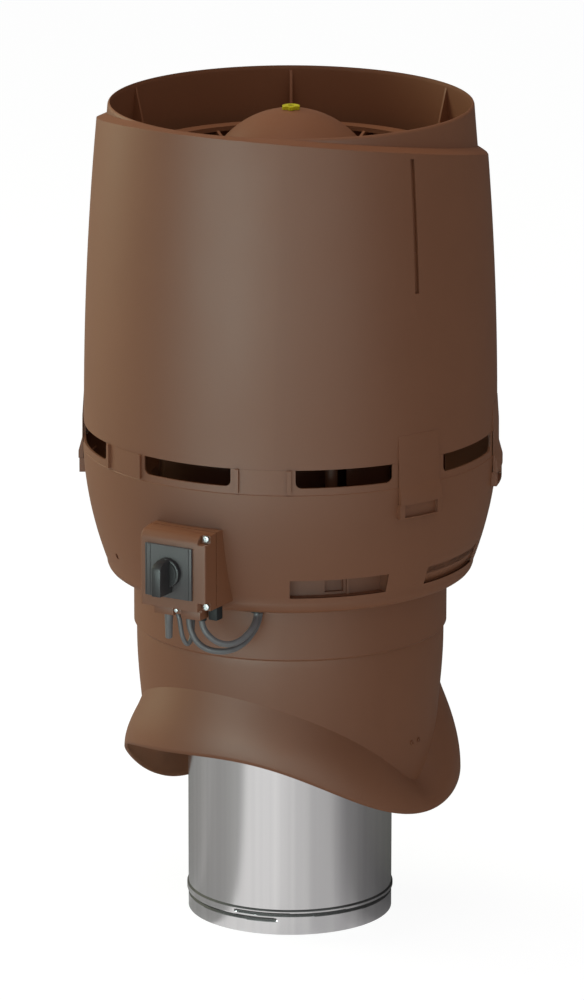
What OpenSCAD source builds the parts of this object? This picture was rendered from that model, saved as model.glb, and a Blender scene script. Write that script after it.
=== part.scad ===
// Roof exhaust fan with an insulated roof pipe and a side-mounted isolator switch.
// Millimetres. The origin is the centre of the duct's lower end, +Z is up and -Y is the switch side.
// Angles named *_angle(s) are bearings: 0 is the switch side (-Y) and they grow towards +X.

/* [Duct] */
// Outer radius of the inner duct
duct_r = 100; // [92:1:104]
// Sheet thickness of the duct
duct_wall = 1; // [0.8:0.1:1.6]
// Height of the lower lap groove
groove_z = 15; // [10:1:20]
// Height between the two lap grooves
groove_pitch = 5.6; // [5:0.2:8]
// Height of the stop bead inside the roof skirt
stop_bead_z = 165; // [160:1:175]

/* [Roof pipe] */
// Outer radius of the roof pipe under the casing
pipe_r = 149.7; // [146:0.1:149.8]
// Outer radius of the pipe at its waist
waist_r = 145; // [143:0.5:146]
// Height of the waist
waist_z = 211; // [205:1:220]
// Wall of the roof pipe and its skirt
pipe_wall = 2.6; // [2:0.1:3.2]

/* [Roof skirt] */
// Radius of the skirt's hem
hem_r = 165; // [158:1:172]
// Mean height of the hem
hem_mean_z = 153; // [148:1:158]
// How far the hem rises at the switch side
hem_front_rise = 15; // [8:1:20]
// How far the hem rises towards +X
hem_side_rise = 8; // [0:1:12]
// Half height of the saddle that fits over a ridge
hem_saddle = 34; // [24:1:38]
// Height where the skirt leaves the pipe over the saddle
crease_top_z = 254; // [245:1:260]
// Depth of the plain tongue of pipe at each side
crease_drop = 102; // [80:1:106]

/* [Lower casing] */
// Outer radius at the rim
casing_r = 201; // [196:0.5:206]
// Outer radius where the side turns under
casing_foot_r = 178.5; // [175:0.5:182]
// Bulge of the side beyond a straight line
casing_bulge = 4.7; // [0:0.1:6]
// Height of the underside
casing_bottom_z = 345.5; // [343:0.5:348]
// Height of the rim line under the slots
casing_rim_z = 468.8; // [464:0.2:472]
// Height of the slotted band's top edge
band_top_z = 493.6; // [490:0.2:498]
// Wall of the casing
casing_wall = 2.8; // [2.2:0.1:3.2]
// Outer radius of the collar around the roof pipe
collar_r = 152.4; // [152.2:0.1:154]
// Height of the collar's lower edge
collar_end_z = 291; // [287:1:300]

/* [Casing openings] */
// Half width of a slot in degrees
slot_half = 13.6; // [11:0.2:14]
// Height of a slot's lower edge
slot_z = 476; // [474:0.5:480]
// Half width of a moulded pocket in degrees
pocket_half = 15.2; // [12:0.2:16]
// Height of a pocket's lower edge
pocket_low_z = 363; // [361:0.5:366]
// Height of a pocket's upper edge
pocket_high_z = 382; // [378:0.5:384]
// Depth of a pocket behind the casing's side
pocket_depth = 11; // [8:0.5:13]

/* [Hat] */
// Outer radius at the hat's lower edge
hat_r = 200.1; // [199:0.1:200.8]
// Outer radius at the highest stretch of the side
hat_top_r = 186.7; // [185:0.1:189]
// Bulge of the side beyond a straight line
hat_bulge = 3.3; // [0:0.1:5]
// Wall of the hat
hat_wall = 2.6; // [2:0.1:3.2]
// Mean height of the slanted lip
lip_z = 770; // [764:0.5:776]
// Slope of the lip in degrees
lip_slope = 9.95; // [8:0.05:11]
// Length of the rib below the lip
hat_rib_l = 137; // [100:1:160]

/* [Outlet] */
// Height of the outlet ring's rolled rim
outlet_z = 806.7; // [802:0.1:812]
// Outer radius just below the rim
outlet_r = 175.8; // [174:0.1:177]
// Widening of the ring per millimetre of depth
outlet_flare = 0.0865; // [0.07:0.0005:0.09]
// Height of the outlet ring's foot
outlet_foot_z = 690; // [680:1:700]
// Depth of a fin at its foot
fin_depth = 18; // [10:1:20]
// Outer radius of the guard ring
guard_r = 158; // [152:1:160]
// Height of the guard ring's top
guard_z = 755; // [748:1:760]
// Radial width of the guard ring
guard_land = 15; // [10:1:20]

/* [Dome] */
// Radius of the dome over the motor
dome_r = 77; // [72:0.5:80]
// Height of the dome's pole
dome_z = 799.2; // [794:0.2:802]
// Wall of the dome
dome_wall = 2.5; // [2:0.1:3]
// Radius of the hand nut
hand_nut_r = 9.4; // [8:0.1:11]

/* [Fan] */
// Radius of the impeller
impeller_r = 136; // [128:0.5:137]
// Radius of the impeller's eye
eye_r = 90; // [86:0.5:94]
// Height of the impeller's back plate
back_plate_z = 492; // [488:0.5:496]
// Number of blades
blade_count = 8; // [6:1:10]
// Radius that a blade is curved to
blade_curve_r = 96; // [84:1:110]
// Sheet thickness of the impeller
blade_t = 1.5; // [1:0.1:2]
// Outer radius of the motor's outer rotor
rotor_r = 50; // [48:0.5:52]
// Shaft radius
shaft_r = 5; // [4:0.1:6]
// Outer radius of the bearings
bearing_r = 13; // [12:0.5:14]
// Circle of the motor supports
post_circle_r = 150; // [149:0.5:156]

/* [Switch] */
// Width of the isolator's cover
box_w = 76; // [70:1:80]
// Height of the cover's front face
box_h = 65; // [60:1:68]
// Distance of the front face from the axis
box_face = 226; // [222:0.5:230]
// Height of the knob's axis
knob_z = 394; // [392:0.5:396]
// Side of the square switch plate
plate_side = 52; // [48:1:54]
// Radius of the knob's disc
knob_r = 15; // [13:0.5:16]
// Reach of the knob's grip in front of the plate
grip_reach = 22; // [18:0.5:25]
// Length of the knob's grip
grip_l = 38; // [34:1:42]
// Width of the knob's grip
grip_w = 9.5; // [8:0.5:11]

/* [Cables] */
// Radius of the supply and motor cables
cable_r = 3; // [2.5:0.1:3.2]
// Radius of the thin earth lead
lead_r = 2.2; // [1.8:0.1:2.3]

/* [Hidden] */
$fn = 96;

// Clearances
seat_gap = 0.15;
running_gap = 0.05;
rotor_gap = 0.6;

// Brown casing plastic, steel, rubber and the other colours
brown = [0.42, 0.29, 0.21];
steel = [0.72, 0.73, 0.74];
zinc = [0.66, 0.67, 0.68];
dark = [0.16, 0.16, 0.17];
grey = [0.38, 0.40, 0.42];
foam = [0.80, 0.79, 0.74];
copper = [0.72, 0.42, 0.22];
yellow = [0.85, 0.80, 0.05];

// Repeats around the axis
slot_count = 8;
slot_pitch = 360 / slot_count;
catch_angles = [67.5, 112.5, -67.5, -112.5];
fin_count = 6;
fin_pitch = 360 / fin_count;
post_angles = [45, 135, 225, 315];

// Outlines of the three revolved shells
function mix(a, b, t) = a + (b - a) * t;
function bowed(a, b, bulge, t) = mix(a, b, t) + 4 * bulge * t * (1 - t);
casing_foot_z = casing_bottom_z + 11.5;
casing_corner = 11;
function casing_side(z) =
    bowed(casing_foot_r, casing_r, casing_bulge, (z - casing_foot_z) / (casing_rim_z - casing_foot_z));
hat_join_z = 786;
function hat_side(z) = bowed(hat_r, hat_top_r, hat_bulge, (z - band_top_z) / (hat_join_z - band_top_z));
rim_roll = 3.7;
function outlet_side(z) = outlet_r + (outlet_z - rim_roll - z) * outlet_flare;
outline_steps = 12;

// Heights of the fan's parts, from the deck up
deck_z = pocket_high_z + casing_wall;
deck_t = 3;
deck_r = casing_side(deck_z) - casing_wall - 0.8;
deck_top = deck_z + deck_t;
bell_mouth_r = 24;
throat_r = eye_r - 3.5;
cone_t = 1.5;
cone_flange_r = 142;
eye_low_z = deck_top + bell_mouth_r - 3;
plate_z = back_plate_z + 64;
plate_t = 3;
bush_h = 6;
post_r = 6;
hub_r = 86;
arm_w = 24;
post_screw_r = 3;
screw_head_h = 3;

// Motor, from the bell's closed end up
bell_low_z = back_plate_z - 30;
bell_wall = 4;
bell_end_t = 3;
bell_high_z = back_plate_z + 43;
boss_h = 9;
boss_r = 12;
flange_t = 8;
flange_low_z = plate_z - flange_t;
tube_wall = 3;
bearing_h = 8;
lower_bearing_z = bell_low_z + boss_h + 3;
upper_bearing_z = flange_low_z - bearing_h - 2;
clip_t = 1;
core_low_z = back_plate_z - 6;
core_h = 40;
winding_h = 8;
tooth_count = 12;
tie_rod_r = 3;
tie_rod_low_z = plate_z - flange_t + 2;

// Dome, guard and hand nut
dome_centre_z = dome_z - dome_r;
dome_foot_z = plate_z + plate_t;
ledge_z = 694;
ledge_h = 5.9;
ledge_r = dome_r + 2.5;
rib_t = 3;
guard_h = 4.5;
hand_nut_h = 3.4;

// Slanted lip of the hat
shoulder_w = 12.5;
shoulder_h = 9.5;
shoulder_inner = 20.5;

// Bowl band, tongues and rails
ridge_half = slot_half + 1.6;
ridge_w = 1.2;
ridge_proud = 0.9;
ridge_low_z = casing_rim_z - 0.6;
slot_corner = 6;
catch_half = 6.85;
tongue_low_z = 454;
tongue_step_z = 478;
tongue_r = casing_r + 2.8;
rail_r = casing_r + 4;
rail_low_z = 434;
rail_high_z = casing_rim_z + 1.2;

// Isolator box, from the front back
cover_d = 20;
cover_low_z = knob_z - 33;
cover_wall = 2.5;
gasket_t = 1.2;
gasket_w = 7;
base_front = box_face - cover_d - gasket_t;
chin_h = 11;
shaft_square_r = 3;
plate_d = 3;
knob_gap = 0.4;
disc_d = 5;
box_screw_inset = 5;
casing_back_gap = 0.2;

module ring(r_out, r_in, z_low, z_high) {
    translate([0, 0, z_low]) difference() {
        cylinder(r = r_out, h = z_high - z_low);
        translate([0, 0, -1]) cylinder(r = r_in, h = z_high - z_low + 2);
    }
}

// Block between two radii and two heights, centred on a bearing
module sector(angle, half, r_in, r_out, z_low, z_high) {
    rotate([0, 0, angle - 90 - half]) rotate_extrude(angle = 2 * half)
        translate([r_in, z_low]) square([r_out - r_in, z_high - z_low]);
}

// Points of a revolved side, between two heights
function side_points(side, z_from, z_to, inset) = [
    for (i = [0 : outline_steps])
        let (z = mix(z_from, z_to, i / outline_steps))
        [(side == "casing" ? casing_side(z) : side == "hat" ? hat_side(z) : outlet_side(z)) - inset, z]];

// Places children at a radius on each bearing, turned to face outwards
module around(angles, radius) {
    for (a = angles) rotate([0, 0, a - 90]) translate([radius, 0, 0]) children();
}

module cap_screw(r, l, head_r, head_h) {
    cylinder(r = head_r, h = head_h, $fn = 32);
    translate([0, 0, -l]) cylinder(r = r, h = l, $fn = 32);
}

// Duct and its insulation

module duct_pipe() {
    bead = 1.2;
    groove_w = 2.2;
    groove_d = 0.6;
    color(steel) difference() {
        rotate_extrude() polygon([
            [duct_r - duct_wall, 0], [duct_r, 0],
            [duct_r, stop_bead_z - 2 * bead], [duct_r + bead, stop_bead_z - bead],
            [duct_r + bead, stop_bead_z + bead], [duct_r, stop_bead_z + 2 * bead],
            [duct_r, deck_z - duct_wall], [duct_r + 16, deck_z - duct_wall],
            [duct_r + 16, deck_z], [duct_r - duct_wall, deck_z]]);
        for (z = [groove_z, groove_z + groove_pitch])
            ring(duct_r + 1, duct_r - groove_d, z - groove_w / 2, z + groove_w / 2);
    }
}

insulation_low_z = stop_bead_z + 4;

module duct_insulation() {
    color(foam) rotate_extrude() polygon([
        [duct_r + seat_gap, insulation_low_z], [waist_r - pipe_wall - 1, insulation_low_z],
        [waist_r - pipe_wall - 1, waist_z], [pipe_r - pipe_wall - 1, collar_end_z - 5],
        [pipe_r - pipe_wall - 1, casing_bottom_z - 1], [duct_r + seat_gap, casing_bottom_z - 1]]);
}

// Roof pipe with its saddle skirt

pipe_top_z = casing_bottom_z - 4;
skirt_turn = 3;

function pipe_side(z) =
    let (t = max(0, min(1, (collar_end_z - 8 - z) / (collar_end_z - 8 - waist_z))))
    waist_r + (pipe_r - waist_r) * cos(90 * t);

// Height where the flare starts, on bearing a
function crease_z(a) =
    let (c = cos(a + skirt_turn), power = c > 0 ? 0.4 : 0.28, soft = 0.01)
    crease_top_z - crease_drop * (1 - (pow(c * c + soft, power) - pow(soft, power))
        / (pow(1 + soft, power) - pow(soft, power)));

// Smaller waves of the hem, two, three and four to the round
hem_twist = 12.7;
hem_lobe = 8;
hem_ripple = 6;

// Height of the hem, on bearing a
function hem_z(a) =
    hem_mean_z + hem_front_rise * cos(a) + hem_side_rise * sin(a) + hem_saddle * cos(2 * a)
    - hem_twist * sin(2 * a) - hem_lobe * cos(3 * a) + hem_ripple * sin(4 * a);

skirt_segments = 96;
tube_rows = 4;
flare_rows = 7;

// Radius and height of row j, from the pipe's top to the hem
function skirt_row(a, j) =
    let (high = min(crease_z(a), crease_top_z), low = min(hem_z(a), high - 14))
    j <= tube_rows
        ? let (z = j == 0 ? pipe_top_z : mix(collar_end_z - 8, high, (j - 1) / (tube_rows - 1)))
            [pipe_side(z), z]
        : let (t = (j - tube_rows) / flare_rows, z = mix(high, low, t))
            [mix(pipe_side(z), hem_r, sin(90 * t)), z];

module roof_pipe() {
    rows = tube_rows + flare_rows + 1;
    outer = [for (j = [0 : rows - 1]) for (i = [0 : skirt_segments - 1])
        let (a = 360 * i / skirt_segments, p = skirt_row(a, j)) [p[0] * sin(a), -p[0] * cos(a), p[1]]];
    inner = [for (j = [0 : rows - 1]) for (i = [0 : skirt_segments - 1])
        let (a = 360 * i / skirt_segments, p = skirt_row(a, j), r = p[0] - pipe_wall)
        [r * sin(a), -r * cos(a), p[1]]];
    n = skirt_segments;
    back = rows * n;
    shell = [for (j = [0 : rows - 2]) for (i = [0 : n - 1])
        let (k = (i + 1) % n) [j * n + i, j * n + k, (j + 1) * n + k, (j + 1) * n + i]];
    lining = [for (f = shell) [back + f[3], back + f[2], back + f[1], back + f[0]]];
    rim = [for (i = [0 : n - 1]) let (k = (i + 1) % n) [i, back + i, back + k, k]];
    hem = [for (i = [0 : n - 1]) let (k = (i + 1) % n, last = (rows - 1) * n)
        [last + k, back + last + k, back + last + i, last + i]];
    color(brown) polyhedron(points = concat(outer, inner), faces = concat(shell, lining, rim, hem));
}

skirt_screw_angles = [82, 87.5, -82, -87.5];
skirt_screw_z = 195;

module skirt_screws() {
    color(dark) around(skirt_screw_angles, waist_r + seat_gap)
        translate([0, 0, skirt_screw_z]) rotate([0, 90, 0]) cylinder(r = 2.2, h = 1.2, $fn = 32);
}

// Lower casing with slots, pockets, catch rails and collar

function corner_points(r, z, radius, steps) = [
    for (i = [0 : steps]) let (a = 90 * i / steps) [r - radius + radius * sin(a), z + radius - radius * cos(a)]];

module casing_outer() {
    foot = casing_side(casing_foot_z);
    rotate_extrude() polygon(concat(
        [[0, casing_bottom_z]],
        corner_points(foot, casing_bottom_z, casing_corner, 5),
        side_points("casing", casing_foot_z, casing_rim_z, 0),
        [[casing_r, band_top_z], [0, band_top_z]]));
}

module casing_inner() {
    foot = casing_side(casing_foot_z) - casing_wall;
    floor_z = casing_bottom_z + casing_wall;
    rotate_extrude() polygon(concat(
        [[0, floor_z]],
        corner_points(foot, floor_z, casing_corner - casing_wall, 5),
        side_points("casing", casing_foot_z, casing_rim_z, casing_wall),
        [[casing_r - casing_wall, band_top_z + 1], [0, band_top_z + 1]]));
}

// Slot with rounded lower corners, cut along its bearing
module slot_cut(angle) {
    w = 2 * casing_r * sin(slot_half);
    rotate([0, 0, angle]) translate([0, -casing_r + 12, 0]) rotate([90, 0, 0])
        linear_extrude(height = 20) union() {
            translate([-w / 2, slot_z + slot_corner]) square([w, band_top_z - slot_z]);
            translate([-w / 2 + slot_corner, slot_z]) square([w - 2 * slot_corner, slot_corner + 1]);
            for (x = [-1, 1]) translate([x * (w / 2 - slot_corner), slot_z + slot_corner])
                circle(r = slot_corner, $fn = 32);
        }
}

module catch_rails(angle) {
    rail_half = 0.7;
    for (side = [-1, 1])
        sector(angle + side * (catch_half + 1.2), rail_half, casing_r - 6, rail_r, rail_low_z, rail_high_z);
    sector(angle, catch_half + 1.2, casing_r - 6, tongue_r - 1, tongue_low_z - 4, tongue_low_z - seat_gap);
}

module casing_pockets() {
    pocket_r = casing_side(pocket_low_z) - pocket_depth;
    for (i = [0 : slot_count - 1]) {
        sector(i * slot_pitch, pocket_half, pocket_r, casing_r, pocket_low_z, pocket_high_z);
        sector(i * slot_pitch - 1.6, 2.5, pocket_r - casing_wall - 1, pocket_r + 1,
            pocket_high_z - 7, pocket_high_z - 1);
    }
}

module casing_pocket_liners() {
    pocket_r = casing_side(pocket_low_z) - pocket_depth;
    liner_half = pocket_half + 0.9;
    intersection() {
        casing_outer();
        for (i = [0 : slot_count - 1])
            sector(i * slot_pitch, liner_half, pocket_r - casing_wall, casing_r,
                pocket_low_z - casing_wall, deck_z);
    }
}

module pocket_ribs() {
    pocket_r = casing_side(pocket_low_z) - pocket_depth;
    intersection() {
        casing_outer();
        for (i = [0 : slot_count - 1])
            sector(i * slot_pitch + 3, 0.5, pocket_r - 1, casing_r, pocket_low_z - 1, pocket_high_z + 1);
    }
}

casing_hole_r = duct_r + 0.4;

// Grommet with two bores in the casing's floor
grommet_angle = 19;
grommet_circle_r = 160;
grommet_r = 7.4;
grommet_neck_r = 6;
grommet_h = 2;
grommet_bore_offset = [-0.5, 3.7];
grommet_at = [grommet_circle_r * sin(grommet_angle), -grommet_circle_r * cos(grommet_angle)];

module lower_casing() {
    color(brown) difference() {
        union() {
            difference() {
                union() {
                    difference() {
                        casing_outer();
                        casing_inner();
                    }
                    casing_pocket_liners();
                }
                casing_pockets();
                for (i = [0 : slot_count - 1]) slot_cut(i * slot_pitch);
            }
            pocket_ribs();
            for (i = [0 : slot_count - 1]) for (side = [-1, 1])
                sector(i * slot_pitch + side * ridge_half, ridge_w / 2, casing_r - 1,
                    casing_r + ridge_proud, ridge_low_z, band_top_z);
            for (a = catch_angles) catch_rails(a);
            rotate_extrude() polygon([
                [pipe_r + seat_gap, collar_end_z - 5], [pipe_r + 0.6, collar_end_z - 5],
                [collar_r, collar_end_z], [collar_r, casing_bottom_z + 1],
                [pipe_r + seat_gap, casing_bottom_z + 1]]);
        }
        translate([0, 0, casing_bottom_z - 1]) cylinder(r = casing_hole_r, h = casing_wall + 2);
        translate([grommet_at[0], grommet_at[1], casing_bottom_z - 1])
            cylinder(r = grommet_neck_r + seat_gap, h = casing_wall + 2, $fn = 48);
    }
}

// Deck, inlet and impeller

deck_screw_angles = [for (i = [0 : slot_count - 1]) i * slot_pitch + 9];
deck_screw_circle = casing_side(pocket_low_z) - pocket_depth + 6;

module fan_deck() {
    color(zinc) difference() {
        ring(deck_r, duct_r - duct_wall, deck_z, deck_top);
        around(deck_screw_angles, deck_screw_circle)
            translate([0, 0, deck_z - 1]) cylinder(r = 2 + seat_gap, h = deck_t + 2, $fn = 32);
        around(post_angles, post_circle_r)
            translate([0, 0, deck_z - 1]) cylinder(r = post_screw_r + seat_gap, h = deck_t + 2, $fn = 32);
    }
}

module deck_screws() {
    color(zinc) around(deck_screw_angles, deck_screw_circle)
        translate([0, 0, deck_top]) cap_screw(2, deck_t, 4, 2);
}

module inlet_cone() {
    arc = [for (i = [0 : 8]) 90 * i / 8];
    bend_r = throat_r + bell_mouth_r;
    lip_top = deck_top + bell_mouth_r + 1;
    color(zinc) rotate_extrude() polygon(concat(
        [for (a = arc) [bend_r - bell_mouth_r * sin(a), deck_top + bell_mouth_r - bell_mouth_r * cos(a)]],
        [[throat_r, lip_top], [throat_r + cone_t, lip_top]],
        [for (i = [8 : -1 : 0]) let (a = 90 * i / 8, r = bell_mouth_r - cone_t)
            [bend_r - r * sin(a), deck_top + bell_mouth_r - r * cos(a)]],
        [[cone_flange_r, deck_top + cone_t], [cone_flange_r, deck_top]]));
}

front_ring_rise = 22;
front_ring_foot_z = eye_low_z + 5;

module impeller_front_ring() {
    color(zinc) rotate_extrude() polygon([
        [eye_r, eye_low_z], [eye_r + blade_t, eye_low_z], [eye_r + blade_t, front_ring_foot_z - blade_t],
        [impeller_r, front_ring_foot_z + front_ring_rise - blade_t],
        [impeller_r, front_ring_foot_z + front_ring_rise], [eye_r, front_ring_foot_z]]);
}

// One backward-curved blade: an arc of sheet from the eye to the rim
module blade_arc() {
    chord_angle = 34;
    inner_r = eye_r - 10;
    centre = [inner_r * cos(chord_angle) - blade_curve_r * cos(chord_angle + 28),
        inner_r * sin(chord_angle) - blade_curve_r * sin(chord_angle + 28)];
    intersection() {
        translate([centre[0], centre[1], eye_low_z])
            ring(blade_curve_r + blade_t, blade_curve_r, 0, back_plate_z - eye_low_z);
        rotate([0, 0, -52]) translate([0, 0, eye_low_z])
            rotate_extrude(angle = 98) translate([inner_r, 0])
                square([impeller_r - 1 - inner_r, back_plate_z - eye_low_z]);
    }
}

module impeller_blades() {
    color(zinc) intersection() {
        for (i = [0 : blade_count - 1]) rotate([0, 0, i * 360 / blade_count]) blade_arc();
        rotate_extrude() polygon([
            [eye_r - 12, front_ring_foot_z + 2], [eye_r, front_ring_foot_z + 0.1],
            [impeller_r, front_ring_foot_z + front_ring_rise + 0.1],
            [impeller_r, back_plate_z], [eye_r - 12, back_plate_z]]);
    }
}

module impeller_back_plate() {
    color(zinc) ring(impeller_r, rotor_r + seat_gap, back_plate_z, back_plate_z + 2);
}

// Motor

module rotor_bell() {
    bell_flange_r = rotor_r + 14;
    color(steel) rotate_extrude() polygon([
        [shaft_r, bell_low_z], [rotor_r - 4, bell_low_z], [rotor_r, bell_low_z + 4],
        [rotor_r, back_plate_z - 2], [bell_flange_r, back_plate_z - 2], [bell_flange_r, back_plate_z],
        [rotor_r, back_plate_z], [rotor_r, bell_high_z],
        [rotor_r - bell_wall, bell_high_z], [rotor_r - bell_wall, bell_low_z + bell_end_t],
        [boss_r, bell_low_z + bell_end_t], [boss_r, bell_low_z + boss_h],
        [shaft_r, bell_low_z + boss_h]]);
}

shaft_high_z = flange_low_z - 0.5;

module motor_shaft() {
    color(steel) {
        translate([0, 0, bell_low_z - 1]) cylinder(r = shaft_r, h = shaft_high_z - bell_low_z + 1);
        translate([0, 0, upper_bearing_z + bearing_h + 0.1]) cylinder(r = shaft_r + 2.5, h = clip_t);
    }
}

module bearing(z) {
    difference() {
        ring(bearing_r, shaft_r + running_gap, z, z + bearing_h);
        for (face_z = [z - 0.5, z + bearing_h - 0.5])
            ring(bearing_r - 2, shaft_r + 2.6, face_z, face_z + 1);
    }
}

module lower_bearing() {
    color(steel) bearing(lower_bearing_z);
}

module upper_bearing() {
    color(steel) bearing(upper_bearing_z);
}

flange_screw_circle = 38;

module motor_flange() {
    tube_r = bearing_r + tube_wall;
    color(steel) difference() {
        union() {
            translate([0, 0, flange_low_z]) cylinder(r = rotor_r, h = flange_t);
            translate([0, 0, lower_bearing_z - 1]) cylinder(r = tube_r, h = flange_low_z - lower_bearing_z + 2);
        }
        translate([0, 0, lower_bearing_z]) cylinder(r = bearing_r, h = bearing_h);
        translate([0, 0, upper_bearing_z]) cylinder(r = bearing_r, h = bearing_h);
        translate([0, 0, lower_bearing_z - 2])
            cylinder(r = bearing_r - 2, h = flange_low_z - lower_bearing_z + 2);
        translate([0, 0, tie_rod_low_z]) cylinder(r = tie_rod_r + seat_gap, h = flange_t, $fn = 48);
        around(post_angles, flange_screw_circle)
            translate([0, 0, flange_low_z - 1]) cylinder(r = 2 + seat_gap, h = flange_t + 2, $fn = 32);
    }
}

module stator_core() {
    core_r = rotor_r - bell_wall - rotor_gap;
    hub = bearing_r + tube_wall + 6;
    color(steel) translate([0, 0, core_low_z]) linear_extrude(height = core_h) difference() {
        union() {
            circle(r = hub);
            for (i = [0 : tooth_count - 1]) rotate(i * 360 / tooth_count) intersection() {
                circle(r = core_r);
                union() {
                    translate([0, -2.5]) square([core_r + 1, 5]);
                    translate([core_r - 4, -9]) square([5, 18]);
                }
            }
        }
        circle(r = bearing_r + tube_wall + seat_gap);
    }
}

module stator_windings() {
    color(copper) for (z = [core_low_z - winding_h, core_low_z + core_h])
        ring(rotor_r - bell_wall - 6, bearing_r + tube_wall + 8, z, z + winding_h);
}

module motor_plate() {
    color(zinc) difference() {
        union() {
            translate([0, 0, plate_z]) cylinder(r = hub_r, h = plate_t);
            around(post_angles, 0) translate([0, -arm_w / 2, plate_z])
                cube([post_circle_r, arm_w, plate_t]);
            around(post_angles, post_circle_r) translate([0, 0, plate_z])
                cylinder(r = arm_w / 2, h = plate_t);
        }
        around(post_angles, post_circle_r) translate([0, 0, plate_z - 1])
            cylinder(r = post_screw_r + seat_gap, h = plate_t + 2, $fn = 32);
        around(post_angles, flange_screw_circle) translate([0, 0, plate_z - 1])
            cylinder(r = 2 + seat_gap, h = plate_t + 2, $fn = 32);
        translate([0, 0, plate_z - 1]) cylinder(r = tie_rod_r + seat_gap, h = plate_t + 2, $fn = 48);
    }
}

module flange_screws() {
    color(zinc) around(post_angles, flange_screw_circle)
        translate([0, 0, plate_z + plate_t]) cap_screw(2, plate_t + flange_t - 1, 3.5, screw_head_h);
}

module support_posts() {
    color(zinc) around(post_angles, post_circle_r)
        translate([0, 0, deck_top]) difference() {
            cylinder(r = post_r, h = plate_z - bush_h - deck_top, $fn = 48);
            translate([0, 0, plate_z - bush_h - deck_top - 20])
                cylinder(r = post_screw_r + seat_gap, h = 21, $fn = 32);
        }
}

module damper_bushes() {
    color(dark) around(post_angles, post_circle_r) translate([0, 0, plate_z - bush_h]) difference() {
        cylinder(r = post_r + 2, h = bush_h, $fn = 48);
        translate([0, 0, -1]) cylinder(r = post_screw_r + seat_gap, h = bush_h + 2, $fn = 32);
    }
}

module plate_screws() {
    color(zinc) around(post_angles, post_circle_r)
        translate([0, 0, plate_z + plate_t]) cap_screw(post_screw_r, plate_t + bush_h + 16, 5.5, screw_head_h);
}

// Dome, guard ring and hand nut on the tie rod

module tie_rod() {
    color(zinc) translate([0, 0, tie_rod_low_z])
        cylinder(r = tie_rod_r, h = dome_z + hand_nut_h - 1 - tie_rod_low_z, $fn = 48);
}

module rod_nut() {
    color(zinc) translate([0, 0, plate_z + plate_t]) difference() {
        cylinder(r = 5.8, h = 5, $fn = 6);
        translate([0, 0, -1]) cylinder(r = tie_rod_r + running_gap, h = 7, $fn = 48);
    }
}

module dome_cover() {
    dome_flange_r = hub_r - 2;
    steps = 14;
    color(brown) difference() {
        rotate_extrude() polygon(concat(
            [[dome_r - dome_wall, dome_foot_z], [dome_flange_r, dome_foot_z],
                [dome_flange_r, dome_foot_z + dome_wall], [dome_r, dome_foot_z + dome_wall],
                [dome_r, ledge_z], [ledge_r, ledge_z], [ledge_r, ledge_z + ledge_h],
                [dome_r, ledge_z + ledge_h]],
            [for (i = [0 : steps]) let (a = 90 * i / steps)
                [dome_r * cos(a), dome_centre_z + dome_r * sin(a)]],
            [for (i = [steps : -1 : 0]) let (a = 90 * i / steps, r = dome_r - dome_wall)
                [r * cos(a), dome_centre_z + r * sin(a)]]));
        translate([0, 0, dome_z - 5]) cylinder(r = tie_rod_r + seat_gap, h = 8, $fn = 48);
    }
}

module guard_ring() {
    hub_low = ledge_z + ledge_h;
    hub_h = 16;
    hub_in = dome_r + seat_gap;
    ring_low = guard_z - guard_h;
    color(brown) {
        ring(hub_in + 3, hub_in, hub_low, hub_low + hub_h);
        ring(guard_r, guard_r - guard_land, ring_low, guard_z);
        ring(guard_r, guard_r - 2, ring_low - 10, guard_z);
        for (i = [0 : fin_count - 1]) rotate([0, 0, i * fin_pitch]) rotate([90, 0, 90])
            translate([0, 0, -rib_t / 2]) linear_extrude(height = rib_t) polygon([
                [-hub_in - 1, hub_low], [-hub_in - 1, hub_low + hub_h],
                [-guard_r + guard_land, ring_low + 1], [-guard_r + 1, ring_low + 1],
                [-guard_r + 1, ring_low - 9]]);
    }
}

module hand_nut() {
    lobe_r = 2.8;
    color(yellow) translate([0, 0, dome_z]) difference() {
        union() {
            cylinder(r = hand_nut_r - 1.6, h = hand_nut_h);
            for (i = [0 : 5]) rotate([0, 0, i * 60]) translate([hand_nut_r - lobe_r, 0, 0])
                cylinder(r = lobe_r, h = hand_nut_h - 0.6, $fn = 32);
        }
        translate([0, 0, -1]) cylinder(r = tie_rod_r + running_gap, h = hand_nut_h + 2, $fn = 48);
    }
}

// Outlet ring and hat

outlet_wall = 2.3;
foot_flange_t = 3;

module outlet_ring() {
    top_side = outlet_z - rim_roll;
    low_r = outlet_side(outlet_foot_z);
    color(brown) union() {
        rotate_extrude() polygon(concat(
            [[outlet_side(outlet_foot_z) - outlet_wall, outlet_foot_z],
                [hat_side(outlet_foot_z) - hat_wall - 0.4, outlet_foot_z],
                [hat_side(outlet_foot_z) - hat_wall - 0.4, outlet_foot_z + foot_flange_t],
                [outlet_side(outlet_foot_z + foot_flange_t), outlet_foot_z + foot_flange_t],
                [outlet_r, top_side]],
            [for (i = [1 : 6]) let (a = 90 * i / 6)
                [outlet_r - 2.2 + 2.2 * cos(a), top_side + rim_roll * sin(a)]],
            [[outlet_r - outlet_wall, top_side]]));
        for (i = [0 : fin_count - 1]) rotate([0, 0, (i + 0.5) * fin_pitch]) rotate([90, 0, 90])
            translate([0, 0, -1.2]) linear_extrude(height = 2.4) polygon([
                [-low_r + 1, outlet_foot_z], [-low_r + fin_depth, outlet_foot_z],
                [-outlet_r + outlet_wall, top_side - 1], [-outlet_r + 1, top_side - 1]]);
    }
}

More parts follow.
